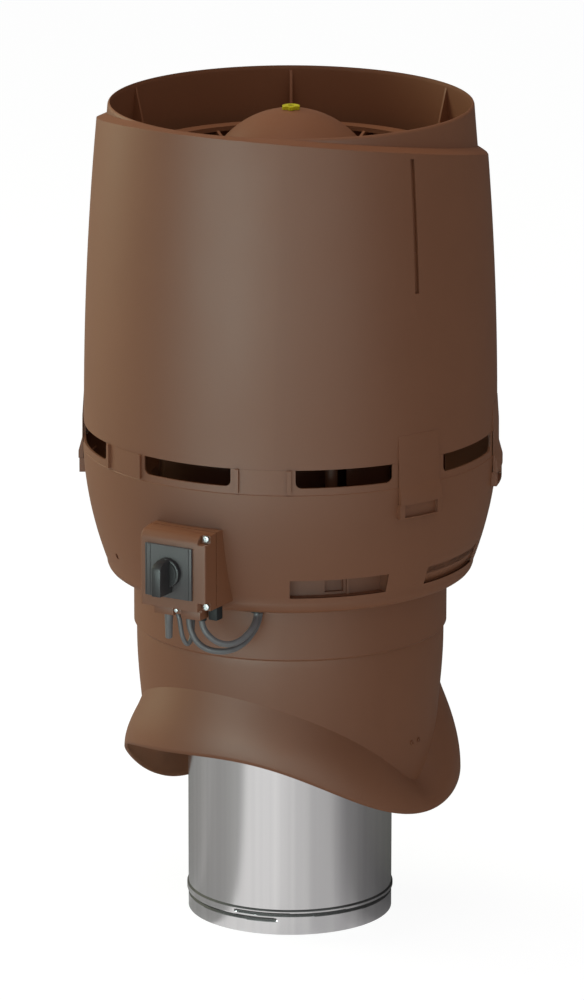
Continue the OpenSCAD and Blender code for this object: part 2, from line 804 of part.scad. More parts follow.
// Everything under the slanted lip with its rounded shoulder, lowered by an inset
module under_lip(inset) {
    reach = 300;
    edge = hat_top_r + 3.8;
    inner_h = shoulder_h * (0.3 + 0.7 * shoulder_inner / shoulder_w);
    intersection() {
        translate([0, 0, lip_z - inset]) rotate([-lip_slope, 0, 0]) rotate_extrude() polygon([
            [0, -3 * reach], [reach, -3 * reach], [reach, -0.85 * reach], [edge + 3, -5], [edge, 0],
            [edge - 0.4 * shoulder_w, 0.58 * shoulder_h], [edge - shoulder_inner, inner_h], [0, inner_h]]);
        translate([0, 0, band_top_z - 50]) cylinder(r = reach, h = outlet_z - 1.2 - inset - band_top_z + 50);
    }
}

module hat_side_solid(inset, z_low) {
    rotate_extrude() polygon(concat(
        [[0, z_low], [hat_side(z_low) - inset, z_low]],
        side_points("hat", z_low, outlet_z, inset), [[0, outlet_z]]));
}

hat_rib_angle = 67.5;

module hat_rib() {
    rib_top = lip_z - 20;
    intersection() {
        difference() {
            hat_side_solid(-1.4, band_top_z);
            hat_side_solid(1, band_top_z - 1);
        }
        sector(hat_rib_angle, 0.36, 150, 210, rib_top - hat_rib_l, outlet_z);
    }
}

module hat_tongues() {
    hook_low = casing_r + seat_gap;
    for (a = catch_angles) {
        sector(a, catch_half - 0.3, hook_low, tongue_r, tongue_low_z, tongue_step_z);
        sector(a, catch_half - 0.3, hook_low, tongue_r - 1.2, tongue_step_z - 1, band_top_z + 1);
        sector(a, catch_half - 0.3, hat_r - 1.5, tongue_r - 1.2, band_top_z, band_top_z + 5);
    }
}

module hat_locating_tabs() {
    tab_r = casing_r - casing_wall - 0.2;
    for (i = [0 : slot_count - 1])
        sector((i + 0.5) * slot_pitch, 6, tab_r - 2.4, tab_r, slot_z, band_top_z + 12);
}

module hat_shroud() {
    color(brown) difference() {
        union() {
            difference() {
                intersection() {
                    union() {
                        hat_side_solid(0, band_top_z);
                        hat_rib();
                    }
                    under_lip(0);
                }
                intersection() {
                    hat_side_solid(hat_wall, band_top_z - 1);
                    under_lip(hat_wall + 0.4);
                }
            }
            hat_tongues();
            hat_locating_tabs();
        }
        rotate_extrude() polygon([
            [0, lip_z - 70], [outlet_side(lip_z - 70) + seat_gap, lip_z - 70],
            [outlet_side(outlet_z + 5) + seat_gap, outlet_z + 5], [0, outlet_z + 5]]);
    }
}

// Isolator switch on the lower casing

module box_front_to_casing(front, w, z_low, z_high) {
    difference() {
        translate([-w / 2, -front, z_low]) cube([w, front - casing_foot_r + 25, z_high - z_low]);
        casing_envelope();
    }
}

// Outer form of the casing with a small gap, to shape what is fastened to it
module casing_envelope() {
    rotate_extrude() polygon(concat(
        [[0, casing_bottom_z - 20], [pipe_r, casing_bottom_z - 20]],
        corner_points(casing_side(casing_foot_z) + casing_back_gap, casing_bottom_z - casing_back_gap,
            casing_corner, 5),
        side_points("casing", casing_foot_z, casing_rim_z, -casing_back_gap),
        [[casing_r, band_top_z], [0, band_top_z]]));
}

cover_high_z = cover_low_z + box_h;
cover_top_z = cover_high_z + 9;
cover_corner = 4;

// Side view of the cover: flat front, slanted top
module cover_outline(inset) {
    front = -box_face + inset;
    back = -base_front - gasket_t;
    polygon([[back, cover_low_z + inset], [front, cover_low_z + inset], [front, cover_high_z - inset],
        [front + 9, cover_top_z - inset], [back, cover_top_z - inset + 2]]);
}

module cover_block(inset) {
    w = box_w - 2 * inset;
    difference() {
        rotate([90, 0, 90]) translate([0, 0, -w / 2]) linear_extrude(height = w) cover_outline(inset);
        // Front edges at both sides are chamfered
        for (side = [-1, 1]) translate([side * w / 2, -box_face + inset, cover_low_z - 20])
            rotate([0, 0, 45]) translate([-cover_corner / 2, -cover_corner / 2, 0])
                cube([cover_corner, cover_corner, box_h + 60]);
    }
}

box_screws = [[box_w / 2 - box_screw_inset, cover_high_z - box_screw_inset + 2],
    [box_w / 2 - box_screw_inset, cover_low_z + box_screw_inset - 2],
    [-box_w / 2 + box_screw_inset, cover_high_z - box_screw_inset + 2],
    [-box_w / 2 + box_screw_inset, cover_low_z + box_screw_inset - 2]];
screw_well_d = 5;

module switch_cover() {
    color(brown) difference() {
        cover_block(0);
        difference() {
            translate([0, 0.01, 0]) cover_block(cover_wall);
            for (p = box_screws) translate([p[0], -base_front, p[1]]) rotate([90, 0, 0])
                cylinder(r = 6, h = 40, $fn = 32);
        }
        for (p = box_screws) translate([p[0], -box_face + screw_well_d, p[1]]) rotate([90, 0, 0]) {
            cylinder(r = 4, h = screw_well_d + 1, $fn = 32);
            translate([0, 0, -cover_d]) cylinder(r = 2 + seat_gap, h = cover_d + 1, $fn = 32);
        }
        translate([0, -box_face - 1, knob_z]) rotate([-90, 0, 0])
            cylinder(r = shaft_square_r + 1.5, h = cover_wall + 2, $fn = 48);
    }
}

module cover_screws() {
    color(zinc) for (p = box_screws) translate([p[0], -box_face + screw_well_d, p[1]])
        rotate([90, 0, 0]) cap_screw(2, cover_d + gasket_t - screw_well_d + 6, 3.3, 2.6);
}

module switch_gasket() {
    w = box_w - 2;
    color(dark) difference() {
        translate([-w / 2, -base_front - gasket_t, cover_low_z + 1])
            cube([w, gasket_t, cover_top_z - cover_low_z - 1]);
        translate([-w / 2 + gasket_w, -base_front - gasket_t - 1, cover_low_z + 1 + gasket_w])
            cube([w - 2 * gasket_w, gasket_t + 2, cover_top_z - cover_low_z - 1 - 2 * gasket_w]);
        for (p = box_screws) translate([p[0], -base_front + 1, p[1]]) rotate([90, 0, 0])
            cylinder(r = 2 + seat_gap, h = gasket_t + 2, $fn = 32);
    }
}

base_low_z = cover_low_z - chin_h;
chin_low_z = base_low_z + 4;
chin_front = base_front + 11;
chin_w = box_w - 16;
cavity_back = casing_r - 1;

// Entries in the base's underside for the two cables, and the blanking plug
entry_x = [8, 22];
entry_front = 205.5;
plug_x = -11;
plug_front = 213;

module switch_base() {
    color(brown) difference() {
        union() {
            box_front_to_casing(base_front, box_w, cover_low_z, cover_top_z + 2);
            box_front_to_casing(base_front, chin_w, chin_low_z, cover_low_z + 1);
            translate([-chin_w / 2, -chin_front, chin_low_z])
                cube([chin_w, chin_front - base_front + 1, cover_low_z - chin_low_z - seat_gap]);
            // Rib in front of the cable entries, and the tab that takes the plug
            translate([13, -chin_front, base_low_z]) cube([19, 3, chin_low_z - base_low_z + 1]);
            translate([-21, -chin_front - 3, base_low_z + 1]) cube([20, 16, chin_h - 1 - seat_gap]);
        }
        difference() {
            translate([-box_w / 2 + 3, -base_front - 1, cover_low_z + 3])
                cube([box_w - 6, base_front + 1 - cavity_back, cover_top_z - cover_low_z - 4]);
            for (p = box_screws) translate([p[0], -base_front - 2, p[1]]) rotate([-90, 0, 0])
                cylinder(r = 5, h = base_front, $fn = 32);
        }
        for (p = box_screws) translate([p[0], -base_front - 1, p[1]]) rotate([-90, 0, 0])
            cylinder(r = 2 + seat_gap, h = 8.5, $fn = 32);
        for (x = entry_x) translate([x, -entry_front, base_low_z - 1])
            cylinder(r = cable_r, h = chin_h + 6, $fn = 32);
        translate([plug_x, -plug_front, base_low_z - 1]) cylinder(r = 3.2, h = chin_h + 2, $fn = 32);
    }
}

module switch_plate() {
    half = plate_side / 2;
    color(dark) difference() {
        translate([-half, -box_face - plate_d, knob_z - half]) cube([plate_side, plate_d, plate_side]);
        for (side = [-1, 1]) translate([side * (half - 4.5) - 0.6, -box_face - plate_d - 0.4, knob_z - half - 1])
            cube([1.2, 0.8, plate_side + 2]);
        translate([0, -box_face - plate_d - 1, knob_z]) rotate([-90, 0, 0])
            cylinder(r = shaft_square_r + running_gap, h = plate_d + 2, $fn = 48);
    }
}

block_front = box_face - cover_wall - 0.3;
block_back = cavity_back + seat_gap;
shaft_back = block_back + 2.5;

module contact_block() {
    block_w = 40;
    color(grey) difference() {
        translate([-block_w / 2, -block_front, knob_z - block_w / 2])
            cube([block_w, block_front - block_back, block_w]);
        translate([0, -block_front - 1, knob_z]) rotate([-90, 0, 0])
            cylinder(r = shaft_square_r + running_gap, h = block_front - shaft_back + 1.4, $fn = 48);
    }
}

knob_face = box_face + plate_d + knob_gap;

module switch_shaft() {
    color(zinc) translate([0, -knob_face - 8, knob_z]) rotate([-90, 0, 0])
        cylinder(r = shaft_square_r, h = knob_face + 8 - shaft_back, $fn = 48);
}

module switch_knob() {
    color(dark) difference() {
        union() {
            translate([0, -knob_face, knob_z]) rotate([90, 0, 0]) {
                cylinder(r = knob_r, h = disc_d);
                linear_extrude(height = grip_reach) union() {
                    translate([-grip_w / 2, -grip_l / 2]) square([grip_w, grip_l - grip_w / 2]);
                    translate([0, grip_l / 2 - grip_w / 2]) circle(r = grip_w / 2, $fn = 48);
                }
            }
        }
        translate([0, -knob_face - 8, knob_z]) rotate([-90, 0, 0]) cylinder(r = shaft_square_r, h = 10, $fn = 48);
    }
}

// Glands, blanking plug and cables

// The cables' sheaths end on the faces of the glands, and the bores carry the wires
wire_bore_r = cable_r - 0.9;
gland_h = 6;

module gland() {
    difference() {
        union() {
            cylinder(r = cable_r + 3.5, h = 3, $fn = 6);
            cylinder(r = cable_r + 1.9, h = gland_h, $fn = 32);
        }
        translate([0, 0, -1]) cylinder(r = wire_bore_r, h = gland_h + 2, $fn = 32);
    }
}

module switch_glands() {
    color(dark) for (x = entry_x)
        translate([x, -entry_front, chin_low_z]) mirror([0, 0, 1]) gland();
}

module blanking_plug() {
    plug_r = 4.1;
    color(grey) {
        translate([plug_x, -plug_front, base_low_z - 26]) cylinder(r = plug_r, h = 26.9);
        translate([plug_x, -plug_front, base_low_z]) cylinder(r = 3, h = 8);
    }
}

module twin_grommet() {
    color(dark) translate([grommet_at[0], grommet_at[1], casing_bottom_z]) difference() {
        union() {
            translate([0, 0, -grommet_h]) cylinder(r = grommet_r, h = grommet_h, $fn = 48);
            cylinder(r = grommet_neck_r, h = casing_wall, $fn = 48);
            translate([0, 0, casing_wall]) cylinder(r = grommet_r - 0.4, h = grommet_h, $fn = 48);
        }
        for (side = [-1, 1]) translate([side * grommet_bore_offset[0], side * grommet_bore_offset[1], -5])
            cylinder(r = wire_bore_r, h = 12, $fn = 32);
    }
}

// Tube of radius r swept along chosen points, with its rings square to the path and its ends level
function unit(v) = v / norm(v);
function path_dir(p, i) =
    let (last = len(p) - 1, d = p[min(i + 1, last)] - p[max(i - 1, 0)])
    unit(i == 0 || i == last ? [0, 0, d[2]] : d);
function ring_at(p, i, r, sides) =
    let (d = path_dir(p, i), u = unit(cross(d, [0, 1, 0.2])), v = cross(d, u))
    [for (k = [0 : sides - 1]) p[i] + r * (u * cos(360 * k / sides) + v * sin(360 * k / sides))];

// Catmull-Rom curve through the chosen points
function curve(p, per) = [for (i = [0 : len(p) - 2]) for (s = [0 : per - 1])
    let (t = s / per, a = p[max(i - 1, 0)], b = p[i], c = p[i + 1], d = p[min(i + 2, len(p) - 1)])
    0.5 * (2 * b + (c - a) * t + (2 * a - 5 * b + 4 * c - d) * t * t + (3 * b - a - 3 * c + d) * t * t * t),
    p[len(p) - 1]];

module tube(route, r, sides) {
    p = curve(route, 2);
    n = len(p);
    points = [for (i = [0 : n - 1]) for (q = ring_at(p, i, r, sides)) q];
    skin = [for (i = [0 : n - 2]) for (k = [0 : sides - 1])
        let (m = (k + 1) % sides) [i * sides + k, i * sides + m, (i + 1) * sides + m, (i + 1) * sides + k]];
    start = [for (k = [sides - 1 : -1 : 0]) k];
    finish = [for (k = [0 : sides - 1]) (n - 1) * sides + k];
    polyhedron(points = points, faces = concat([start], skin, [finish]));
}

// Cable routes, chosen by hand, from the base's glands to the grommet in the casing's floor
gland_face_z = chin_low_z - gland_h;
grommet_face_z = casing_bottom_z - grommet_h;
supply_route = [[entry_x[0], -entry_front, gland_face_z], [8.4, -205.5, 338], [11.1, -205, 329.2],
    [16, -203.5, 321], [24, -200, 314.8], [35.5, -193.5, 312.2], [43.8, -184, 313.2], [49, -173.5, 317.4],
    [51.2, -162, 323.8], [51.8, -152.5, 331.5], [51.6, -148, 338],
    [grommet_at[0] + grommet_bore_offset[0], grommet_at[1] + grommet_bore_offset[1], grommet_face_z]];
motor_route = [[entry_x[1], -entry_front, gland_face_z], [22.6, -205.5, 340], [26.3, -205, 332.6],
    [32.1, -202.5, 326.2], [38.2, -198, 321.9], [44.5, -191.5, 320.3], [50.2, -183, 322.3],
    [53.7, -173, 327.5], [54.3, -163, 333.4], [53, -156.2, 339],
    [grommet_at[0] - grommet_bore_offset[0], grommet_at[1] - grommet_bore_offset[1], grommet_face_z]];
// The earth lead runs from the tab's underside back into the base's underside
earth_route = [[-4, -209, base_low_z + 1], [-0.6, -209.2, 343], [1, -209, 333], [2.9, -208.3, 324.3],
    [6, -206, 318.4], [7.6, -201.8, 321.7], [7.2, -198.6, 329.6], [6.6, -196.5, 340],
    [6.5, -196, chin_low_z]];

module supply_cable() {
    color(grey) tube(supply_route, cable_r, 12);
}

module motor_cable() {
    color(grey) tube(motor_route, cable_r, 12);
}

module earth_lead() {
    color(grey) tube(earth_route, lead_r, 8);
}

duct_pipe();
duct_insulation();
roof_pipe();
skirt_screws();
lower_casing();
fan_deck();
deck_screws();
inlet_cone();
support_posts();
damper_bushes();
plate_screws();
motor_plate();
motor_flange();
flange_screws();
stator_core();
stator_windings();
lower_bearing();
upper_bearing();
motor_shaft();
rotor_bell();
impeller_back_plate();
impeller_blades();
impeller_front_ring();
tie_rod();
rod_nut();
dome_cover();
guard_ring();
hand_nut();
outlet_ring();
hat_shroud();
switch_base();
switch_gasket();
switch_cover();
cover_screws();
switch_plate();
contact_block();
switch_shaft();
switch_knob();
switch_glands();
blanking_plug();
twin_grommet();
supply_cable();
motor_cable();
earth_lead();
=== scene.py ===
from math import acos, atan2, cos, degrees, exp, pi, radians, sin

import bmesh
import bpy
from mathutils import Matrix, Vector


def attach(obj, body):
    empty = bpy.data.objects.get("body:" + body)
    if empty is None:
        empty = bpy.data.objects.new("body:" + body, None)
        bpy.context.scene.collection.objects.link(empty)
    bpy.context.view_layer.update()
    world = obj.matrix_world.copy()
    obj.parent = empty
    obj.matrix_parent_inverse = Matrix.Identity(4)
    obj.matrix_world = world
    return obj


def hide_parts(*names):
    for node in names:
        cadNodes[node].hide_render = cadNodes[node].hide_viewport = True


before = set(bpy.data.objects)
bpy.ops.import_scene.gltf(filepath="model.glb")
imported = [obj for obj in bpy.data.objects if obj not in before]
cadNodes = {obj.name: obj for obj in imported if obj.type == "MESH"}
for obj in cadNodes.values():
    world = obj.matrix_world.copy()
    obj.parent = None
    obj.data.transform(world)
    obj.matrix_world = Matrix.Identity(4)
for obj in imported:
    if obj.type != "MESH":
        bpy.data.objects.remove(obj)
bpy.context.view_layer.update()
mm = 0.001
print("frame loaded,", len(cadNodes), "nodes")


def newObject(name, data):
    thing = bpy.data.objects.new(name, data)
    bpy.context.scene.collection.objects.link(thing)
    return thing


# Camera, seen a little from above and from the right of the switch
cameraView = {
    "azimuth": 30.0,
    "pitch": 15.03,
    "distance": 6.562,
    "aimHeight": 0.4109,
    "lens": 243.07,
    "slideRight": 0.0015,
    "slideUp": 0.0005,
    "roll": 0.08,
}


def direction(azimuth, elevation):
    a, e = radians(azimuth), radians(elevation)
    return Vector((sin(a) * cos(e), -cos(a) * cos(e), sin(e)))


def addCamera(view):
    a, away = radians(view["azimuth"]), direction(view["azimuth"], view["pitch"])
    right = Vector((cos(a), sin(a), 0))
    up = away.cross(right)
    turn = Matrix((right, up, away)).transposed().to_4x4()
    place = Vector((0, 0, view["aimHeight"])) + away * view["distance"]
    place += right * view["slideRight"] + up * view["slideUp"]
    data = bpy.data.cameras.new("photoCamera")
    data.sensor_width = 36
    data.lens = view["lens"]
    data.clip_end = 60
    camera = newObject("photoCamera", data)
    roll = Matrix.Rotation(radians(view["roll"]), 4, "Z")
    camera.matrix_world = Matrix.Translation(place) @ turn @ roll
    bpy.context.scene.camera = camera


addCamera(cameraView)
print("camera placed")


# Shader node groups, each built once and placed in the finishes below

def newGroup(name, given, out):
    # given and out: the kind of each socket by its name
    tree = bpy.data.node_groups.new(name, "ShaderNodeTree")
    for side, sockets in (("INPUT", given), ("OUTPUT", out)):
        for label, kind in sockets.items():
            tree.interface.new_socket(name=label, in_out=side, socket_type="NodeSocket" + kind)
    return tree, tree.nodes.new("NodeGroupInput"), tree.nodes.new("NodeGroupOutput")


def put(tree, kind, inputs=(), **values):
    # values are properties or sockets; inputs holds the sockets whose names are no plain words
    node = tree.nodes.new("ShaderNode" + kind)
    for key, value in values.items():
        if hasattr(node, key):
            setattr(node, key, value)
        else:
            node.inputs[key].default_value = value
    for key, value in dict(inputs).items():
        node.inputs[key].default_value = value
    return node


def wire(tree, *rows):
    # each row joins a node's output to another node's input
    for source, given, target, taken in rows:
        tree.links.new(source.outputs[given], target.inputs[taken])


def buildGrain():
    # fine moulded texture: a normal only
    tree, given, out = newGroup("mouldedGrain", {"Scale": "Float", "Depth": "Float"}, {"Normal": "Vector"})
    where = put(tree, "TexCoord")
    noise = put(tree, "TexNoise", Detail=3.0, Roughness=0.55)
    bump = put(tree, "Bump", Strength=1.0)
    wire(tree, (where, "Object", noise, "Vector"), (given, "Scale", noise, "Scale"),
               (noise, "Fac", bump, "Height"), (given, "Depth", bump, "Distance"),
               (bump, "Normal", out, "Normal"))
    return tree


def buildMottle():
    # slow drift between two colours, and a value that goes with it
    tree, given, out = newGroup("slowMottle", {"Light": "Color", "Dark": "Color", "Scale": "Float"},
                                {"Color": "Color", "Value": "Float"})
    where = put(tree, "TexCoord")
    noise = put(tree, "TexNoise", Detail=5.0, Roughness=0.6)
    spread = put(tree, "MapRange", {"From Min": 0.35, "From Max": 0.65})
    mix = put(tree, "Mix", data_type="RGBA")
    wire(tree, (where, "Object", noise, "Vector"), (given, "Scale", noise, "Scale"),
               (noise, "Fac", spread, "Value"), (spread, "Result", mix, 0), (given, "Dark", mix, 6),
               (given, "Light", mix, 7), (mix, 2, out, "Color"), (spread, "Result", out, "Value"))
    return tree


def buildDust():
    # a thin mask on faces that look up, broken by noise
    tree, given, out = newGroup("settledDust", {"Amount": "Float"}, {"Mask": "Float"})
    shape = put(tree, "NewGeometry")
    split = put(tree, "SeparateXYZ")
    upward = put(tree, "MapRange", {"From Min": 0.35})
    where = put(tree, "TexCoord")
    noise = put(tree, "TexNoise", Scale=60.0, Detail=4.0)
    both = put(tree, "Math", operation="MULTIPLY")
    scaled = put(tree, "Math", operation="MULTIPLY")
    wire(tree, (shape, "Normal", split, 0), (split, "Z", upward, "Value"),
               (where, "Object", noise, "Vector"), (upward, "Result", both, 0), (noise, "Fac", both, 1),
               (both, 0, scaled, 0), (given, "Amount", scaled, 1), (scaled, 0, out, "Mask"))
    return tree


def buildStreaks():
    # bands along the axis that change with the bearing, as on rolled sheet
    kinds = {"Bands": "Float", "Hairlines": "Float"}
    tree, given, out = newGroup("rolledStreaks", kinds, kinds)
    where = put(tree, "TexCoord")
    split = put(tree, "SeparateXYZ")
    bearing = put(tree, "Math", operation="ARCTAN2")
    wire(tree, (where, "Object", split, 0), (split, "X", bearing, 0), (split, "Y", bearing, 1))
    for name, detail in (("Bands", 2.0), ("Hairlines", 6.0)):
        noise = put(tree, "TexNoise", noise_dimensions="1D", Detail=detail)
        wire(tree, (bearing, 0, noise, "W"), (given, name, noise, "Scale"), (noise, "Fac", out, name))
    return tree


grainGroup = buildGrain()
mottleGroup = buildMottle()
dustGroup = buildDust()
streakGroup = buildStreaks()


def useGroup(tree, group, **values):
    node = tree.nodes.new("ShaderNodeGroup")
    node.node_tree = group
    for key, value in values.items():
        node.inputs[key].default_value = value
    return node


def newFinish(name, metallic=0.0, roughness=0.5, specular=0.5):
    mat = bpy.data.materials.new(name)
    mat.use_nodes = True
    shader = mat.node_tree.nodes["Principled BSDF"]
    shader.inputs["Metallic"].default_value = metallic
    shader.inputs["Roughness"].default_value = roughness
    shader.inputs["Specular IOR Level"].default_value = specular
    return mat, mat.node_tree, shader


def roughnessFrom(tree, source, shader, low, high):
    span = put(tree, "MapRange", {"To Min": low, "To Max": high})
    tree.links.new(source, span.inputs["Value"])
    wire(tree, (span, "Result", shader, "Roughness"))


dustColor = (0.45, 0.42, 0.38, 1)


def mottledFinish(name, light, dark, scale, rough, grain, depth, metallic=0.0, specular=0.5, dust=0.0):
    mat, tree, shader = newFinish(name, metallic, rough[0], specular)
    mottle = useGroup(tree, mottleGroup, Light=(*light, 1), Dark=(*dark, 1), Scale=scale)
    color = mottle.outputs["Color"]
    if dust:
        mask = useGroup(tree, dustGroup, Amount=dust)
        mix = put(tree, "Mix", {7: dustColor}, data_type="RGBA")
        wire(tree, (mask, "Mask", mix, 0))
        tree.links.new(color, mix.inputs[6])
        color = mix.outputs[2]
    tree.links.new(color, shader.inputs["Base Color"])
    roughnessFrom(tree, mottle.outputs["Value"], shader, rough[0], rough[1])
    fine = useGroup(tree, grainGroup, Scale=grain, Depth=depth)
    wire(tree, (fine, "Normal", shader, "Normal"))
    return mat


finishFacts = {
    # light and dark colour, scale of their drift, roughness span, grain and its depth, then what else differs
    "brownPlastic": ((0.268, 0.103, 0.046), (0.254, 0.097, 0.043), 6, (0.50, 0.56),
                     620, 0.00008, {"specular": 0.42, "dust": 0.03}),
    "darkPlastic": ((0.250, 0.100, 0.050), (0.225, 0.090, 0.045), 12, (0.5, 0.6),
                    620, 0.00008, {"specular": 0.3}),
    "galvanised": ((0.60, 0.61, 0.62), (0.42, 0.43, 0.45), 55, (0.34, 0.52), 300, 0.00004, {"metallic": 1.0}),
    "machinedSteel": ((0.62, 0.62, 0.63), (0.50, 0.50, 0.52), 90, (0.24, 0.36),
                      900, 0.00001, {"metallic": 1.0}),
    # painted shade: a near-black steel laid on the duct's lap groove and bead edge
    "paintedShadeSteel": ((0.115, 0.11, 0.11), (0.085, 0.08, 0.08), 90, (0.5, 0.6),
                    900, 0.00001, {"metallic": 0.6, "specular": 0.2}),
    "laminations": ((0.30, 0.30, 0.32), (0.20, 0.20, 0.22), 70, (0.4, 0.55), 500, 0.00004, {"metallic": 0.9}),
    "winding": ((0.55, 0.24, 0.10), (0.34, 0.13, 0.06), 120, (0.3, 0.45), 400, 0.0002, {"metallic": 0.7}),
    "blackRubber": ((0.022, 0.023, 0.025), (0.014, 0.015, 0.016), 60, (0.55, 0.7),
                    700, 0.00005, {"specular": 0.3}),
    "knobPlastic": ((0.036, 0.033, 0.035), (0.028, 0.026, 0.028), 40, (0.42, 0.5),
                    1500, 0.00003, {"specular": 0.45}),
    "plateGrey": ((0.100, 0.094, 0.098), (0.088, 0.082, 0.086), 40, (0.45, 0.55),
                  1400, 0.00003, {"specular": 0.4}),
    "contactGrey": ((0.34, 0.36, 0.38), (0.28, 0.30, 0.32), 40, (0.45, 0.55), 900, 0.00003, {}),
    "cableGrey": ((0.195, 0.192, 0.200), (0.165, 0.162, 0.170), 90, (0.42, 0.52),
                  700, 0.00003, {"specular": 0.45}),
    "foam": ((0.66, 0.64, 0.56), (0.52, 0.50, 0.43), 120, (0.8, 0.95), 260, 0.0006, {"specular": 0.2}),
    "nutYellow": ((0.70, 0.60, 0.010), (0.58, 0.50, 0.008), 160, (0.32, 0.42), 900, 0.00003, {}),
    "screwZinc": ((0.52, 0.53, 0.54), (0.42, 0.43, 0.45), 300, (0.34, 0.46),
                  1200, 0.00001, {"metallic": 1.0}),
}
finishes = {name: mottledFinish(name, *facts[:-1], **facts[-1]) for name, facts in finishFacts.items()}


def steelSheet():
    mat, tree, shader = newFinish("rolledSheet", 1.0, 0.3)
    shader.inputs["Anisotropic"].default_value = 0.5
    streaks = useGroup(tree, streakGroup, Bands=7.0, Hairlines=120.0)
    ramp = put(tree, "ValToRGB")
    ramp.color_ramp.elements[0].position = 0.3
    ramp.color_ramp.elements[0].color = (0.665, 0.645, 0.655, 1)
    ramp.color_ramp.elements[1].position = 0.7
    ramp.color_ramp.elements[1].color = (0.73, 0.71, 0.715, 1)
    wire(tree, (streaks, "Bands", ramp, "Fac"), (ramp, "Color", shader, "Base Color"))
    roughnessFrom(tree, streaks.outputs["Hairlines"], shader, 0.15, 0.23)
    return mat


finishes["rolledSheet"] = steelSheet()

nodeFinish = {
    "brownPlastic": ["roof_pipe", "lower_casing", "dome_cover", "guard_ring", "outlet_ring", "hat_shroud",
                     "switch_base", "switch_cover", "skirt_screws"],
    "rolledSheet": ["duct_pipe"],
    "darkPlastic": ["inlet_cone", "support_posts", "impeller_back_plate", "impeller_blades",
                    "impeller_front_ring"],
    "galvanised": ["fan_deck", "motor_plate"],
    "machinedSteel": ["motor_flange", "lower_bearing", "upper_bearing", "motor_shaft", "rotor_bell",
                      "switch_shaft", "tie_rod"],
    "laminations": ["stator_core"],
    "winding": ["stator_windings"],
    "blackRubber": ["damper_bushes", "switch_gasket", "switch_glands", "twin_grommet"],
    "knobPlastic": ["switch_knob"],
    "plateGrey": ["switch_plate"],
    "contactGrey": ["contact_block"],
    "cableGrey": ["supply_cable", "motor_cable", "earth_lead", "blanking_plug"],
    "foam": ["duct_insulation"],
    "nutYellow": ["hand_nut"],
    "screwZinc": ["deck_screws", "plate_screws", "flange_screws", "cover_screws", "rod_nut"],
}
for finish, names in nodeFinish.items():
    for name in names:
        data = cadNodes[name].data
        if not data.materials:
            data.materials.append(finishes[finish])
        for i in range(len(data.materials)):
            data.materials[i] = finishes[finish]
print("finishes placed on", sum(len(n) for n in nodeFinish.values()), "nodes")


# Meshes are made by the first of these, and all pieces are placed by the second

def meshPiece(name, bm, finishNames, smoothAngle):
    data = bpy.data.meshes.new(name)
    bm.to_mesh(data)
    bm.free()
    for each in finishNames:
        data.materials.append(finishes[each])
    data.shade_smooth()
    data.set_sharp_from_angle(angle=radians(smoothAngle))
    return newObject(name, data)


def settle(piece, replaced, body="casing"):
    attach(piece, body)
    if replaced:
        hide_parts(*replaced)


# Cables: smooth round curves along the routes of their solids

cableFacts = {
    "supplyLoop": {
        "node": "supply_cable", "radius": 3.0, "length": 0.1178, "stiffness": "medium",
        "route": [(8, -205.5, 348), (8.4, -205.5, 338), (11.1, -205, 329.2), (16, -203.5, 321),
                  (24, -200, 314.8), (35.5, -193.5, 312.2), (43.8, -184, 313.2), (49, -173.5, 317.4),
                  (51.2, -162, 323.8), (51.8, -152.5, 331.5), (51.6, -148, 338), (51.59, -147.58, 343.5)],
    },
    "motorLoop": {
        "node": "motor_cable", "radius": 3.0, "length": 0.0911, "stiffness": "medium",
        "route": [(22, -205.5, 348), (22.6, -205.5, 340), (26.3, -205, 332.6), (32.1, -202.5, 326.2),
                  (38.2, -198, 321.9), (44.5, -191.5, 320.3), (50.2, -183, 322.3), (53.7, -173, 327.5),
                  (54.3, -163, 333.4), (53, -156.2, 339), (52.59, -154.98, 343.5)],
    },
    "earthLoop": {
        "node": "earth_lead", "radius": 2.2, "length": 0.0741, "stiffness": "limp",
        "route": [(-4, -209, 351), (-0.6, -209.2, 343), (1, -209, 333), (2.9, -208.3, 324.3),
                  (6, -206, 318.4), (7.6, -201.8, 321.7), (7.2, -198.6, 329.6), (6.6, -196.5, 340),
                  (6.5, -196, 354)],
    },
}


def throughPoints(route, per):
    points = [Vector(p) * mm for p in route]
    last = len(points) - 1
    line = []
    for i in range(last):
        a, b, c, d = points[max(i - 1, 0)], points[i], points[i + 1], points[min(i + 2, last)]
        for s in range(per):
            t = s / per
            line.append(0.5 * (2 * b + (c - a) * t + (2 * a - 5 * b + 4 * c - d) * t * t
                               + (3 * b - a - 3 * c + d) * t ** 3))
    line.append(points[last])
    return line


def addCable(name, facts):
    line = throughPoints(facts["route"], 4)
    data = bpy.data.curves.new(name, "CURVE")
    data.dimensions = "3D"
    data.bevel_depth = facts["radius"] * mm
    data.bevel_resolution = 5
    data.use_fill_caps = True
    spline = data.splines.new("POLY")
    spline.points.add(len(line) - 1)
    for point, at in zip(spline.points, line):
        point.co = (*at, 1)
    spline.use_smooth = True
    data.materials.append(finishes["cableGrey"])
    cable = newObject(name, data)
    settle(cable, [facts["node"]])


for cableName, facts in cableFacts.items():
    addCable(cableName, facts)
print("cables laid")


# Revolved sheet pieces: one circle, extruded row by row

def revolveRows(segments, rowCount, place):
    # place(bearing, row) gives a radius and a height in millimetres
    bm = bmesh.new()
    ring = bmesh.ops.create_circle(bm, cap_ends=False, radius=1.0, segments=segments)["verts"]
    edges = list(bm.edges)
    for row in range(rowCount):
        if row:
            made = bmesh.ops.extrude_edge_only(bm, edges=edges)["geom"]
            ring = [g for g in made if isinstance(g, bmesh.types.BMVert)]
            edges = [g for g in made if isinstance(g, bmesh.types.BMEdge)]
        for v in ring:
            bearing = atan2(v.co.x, -v.co.y)
            r, z = place(degrees(bearing), row)
            v.co = (r * mm * sin(bearing), -r * mm * cos(bearing), z * mm)
    return bm


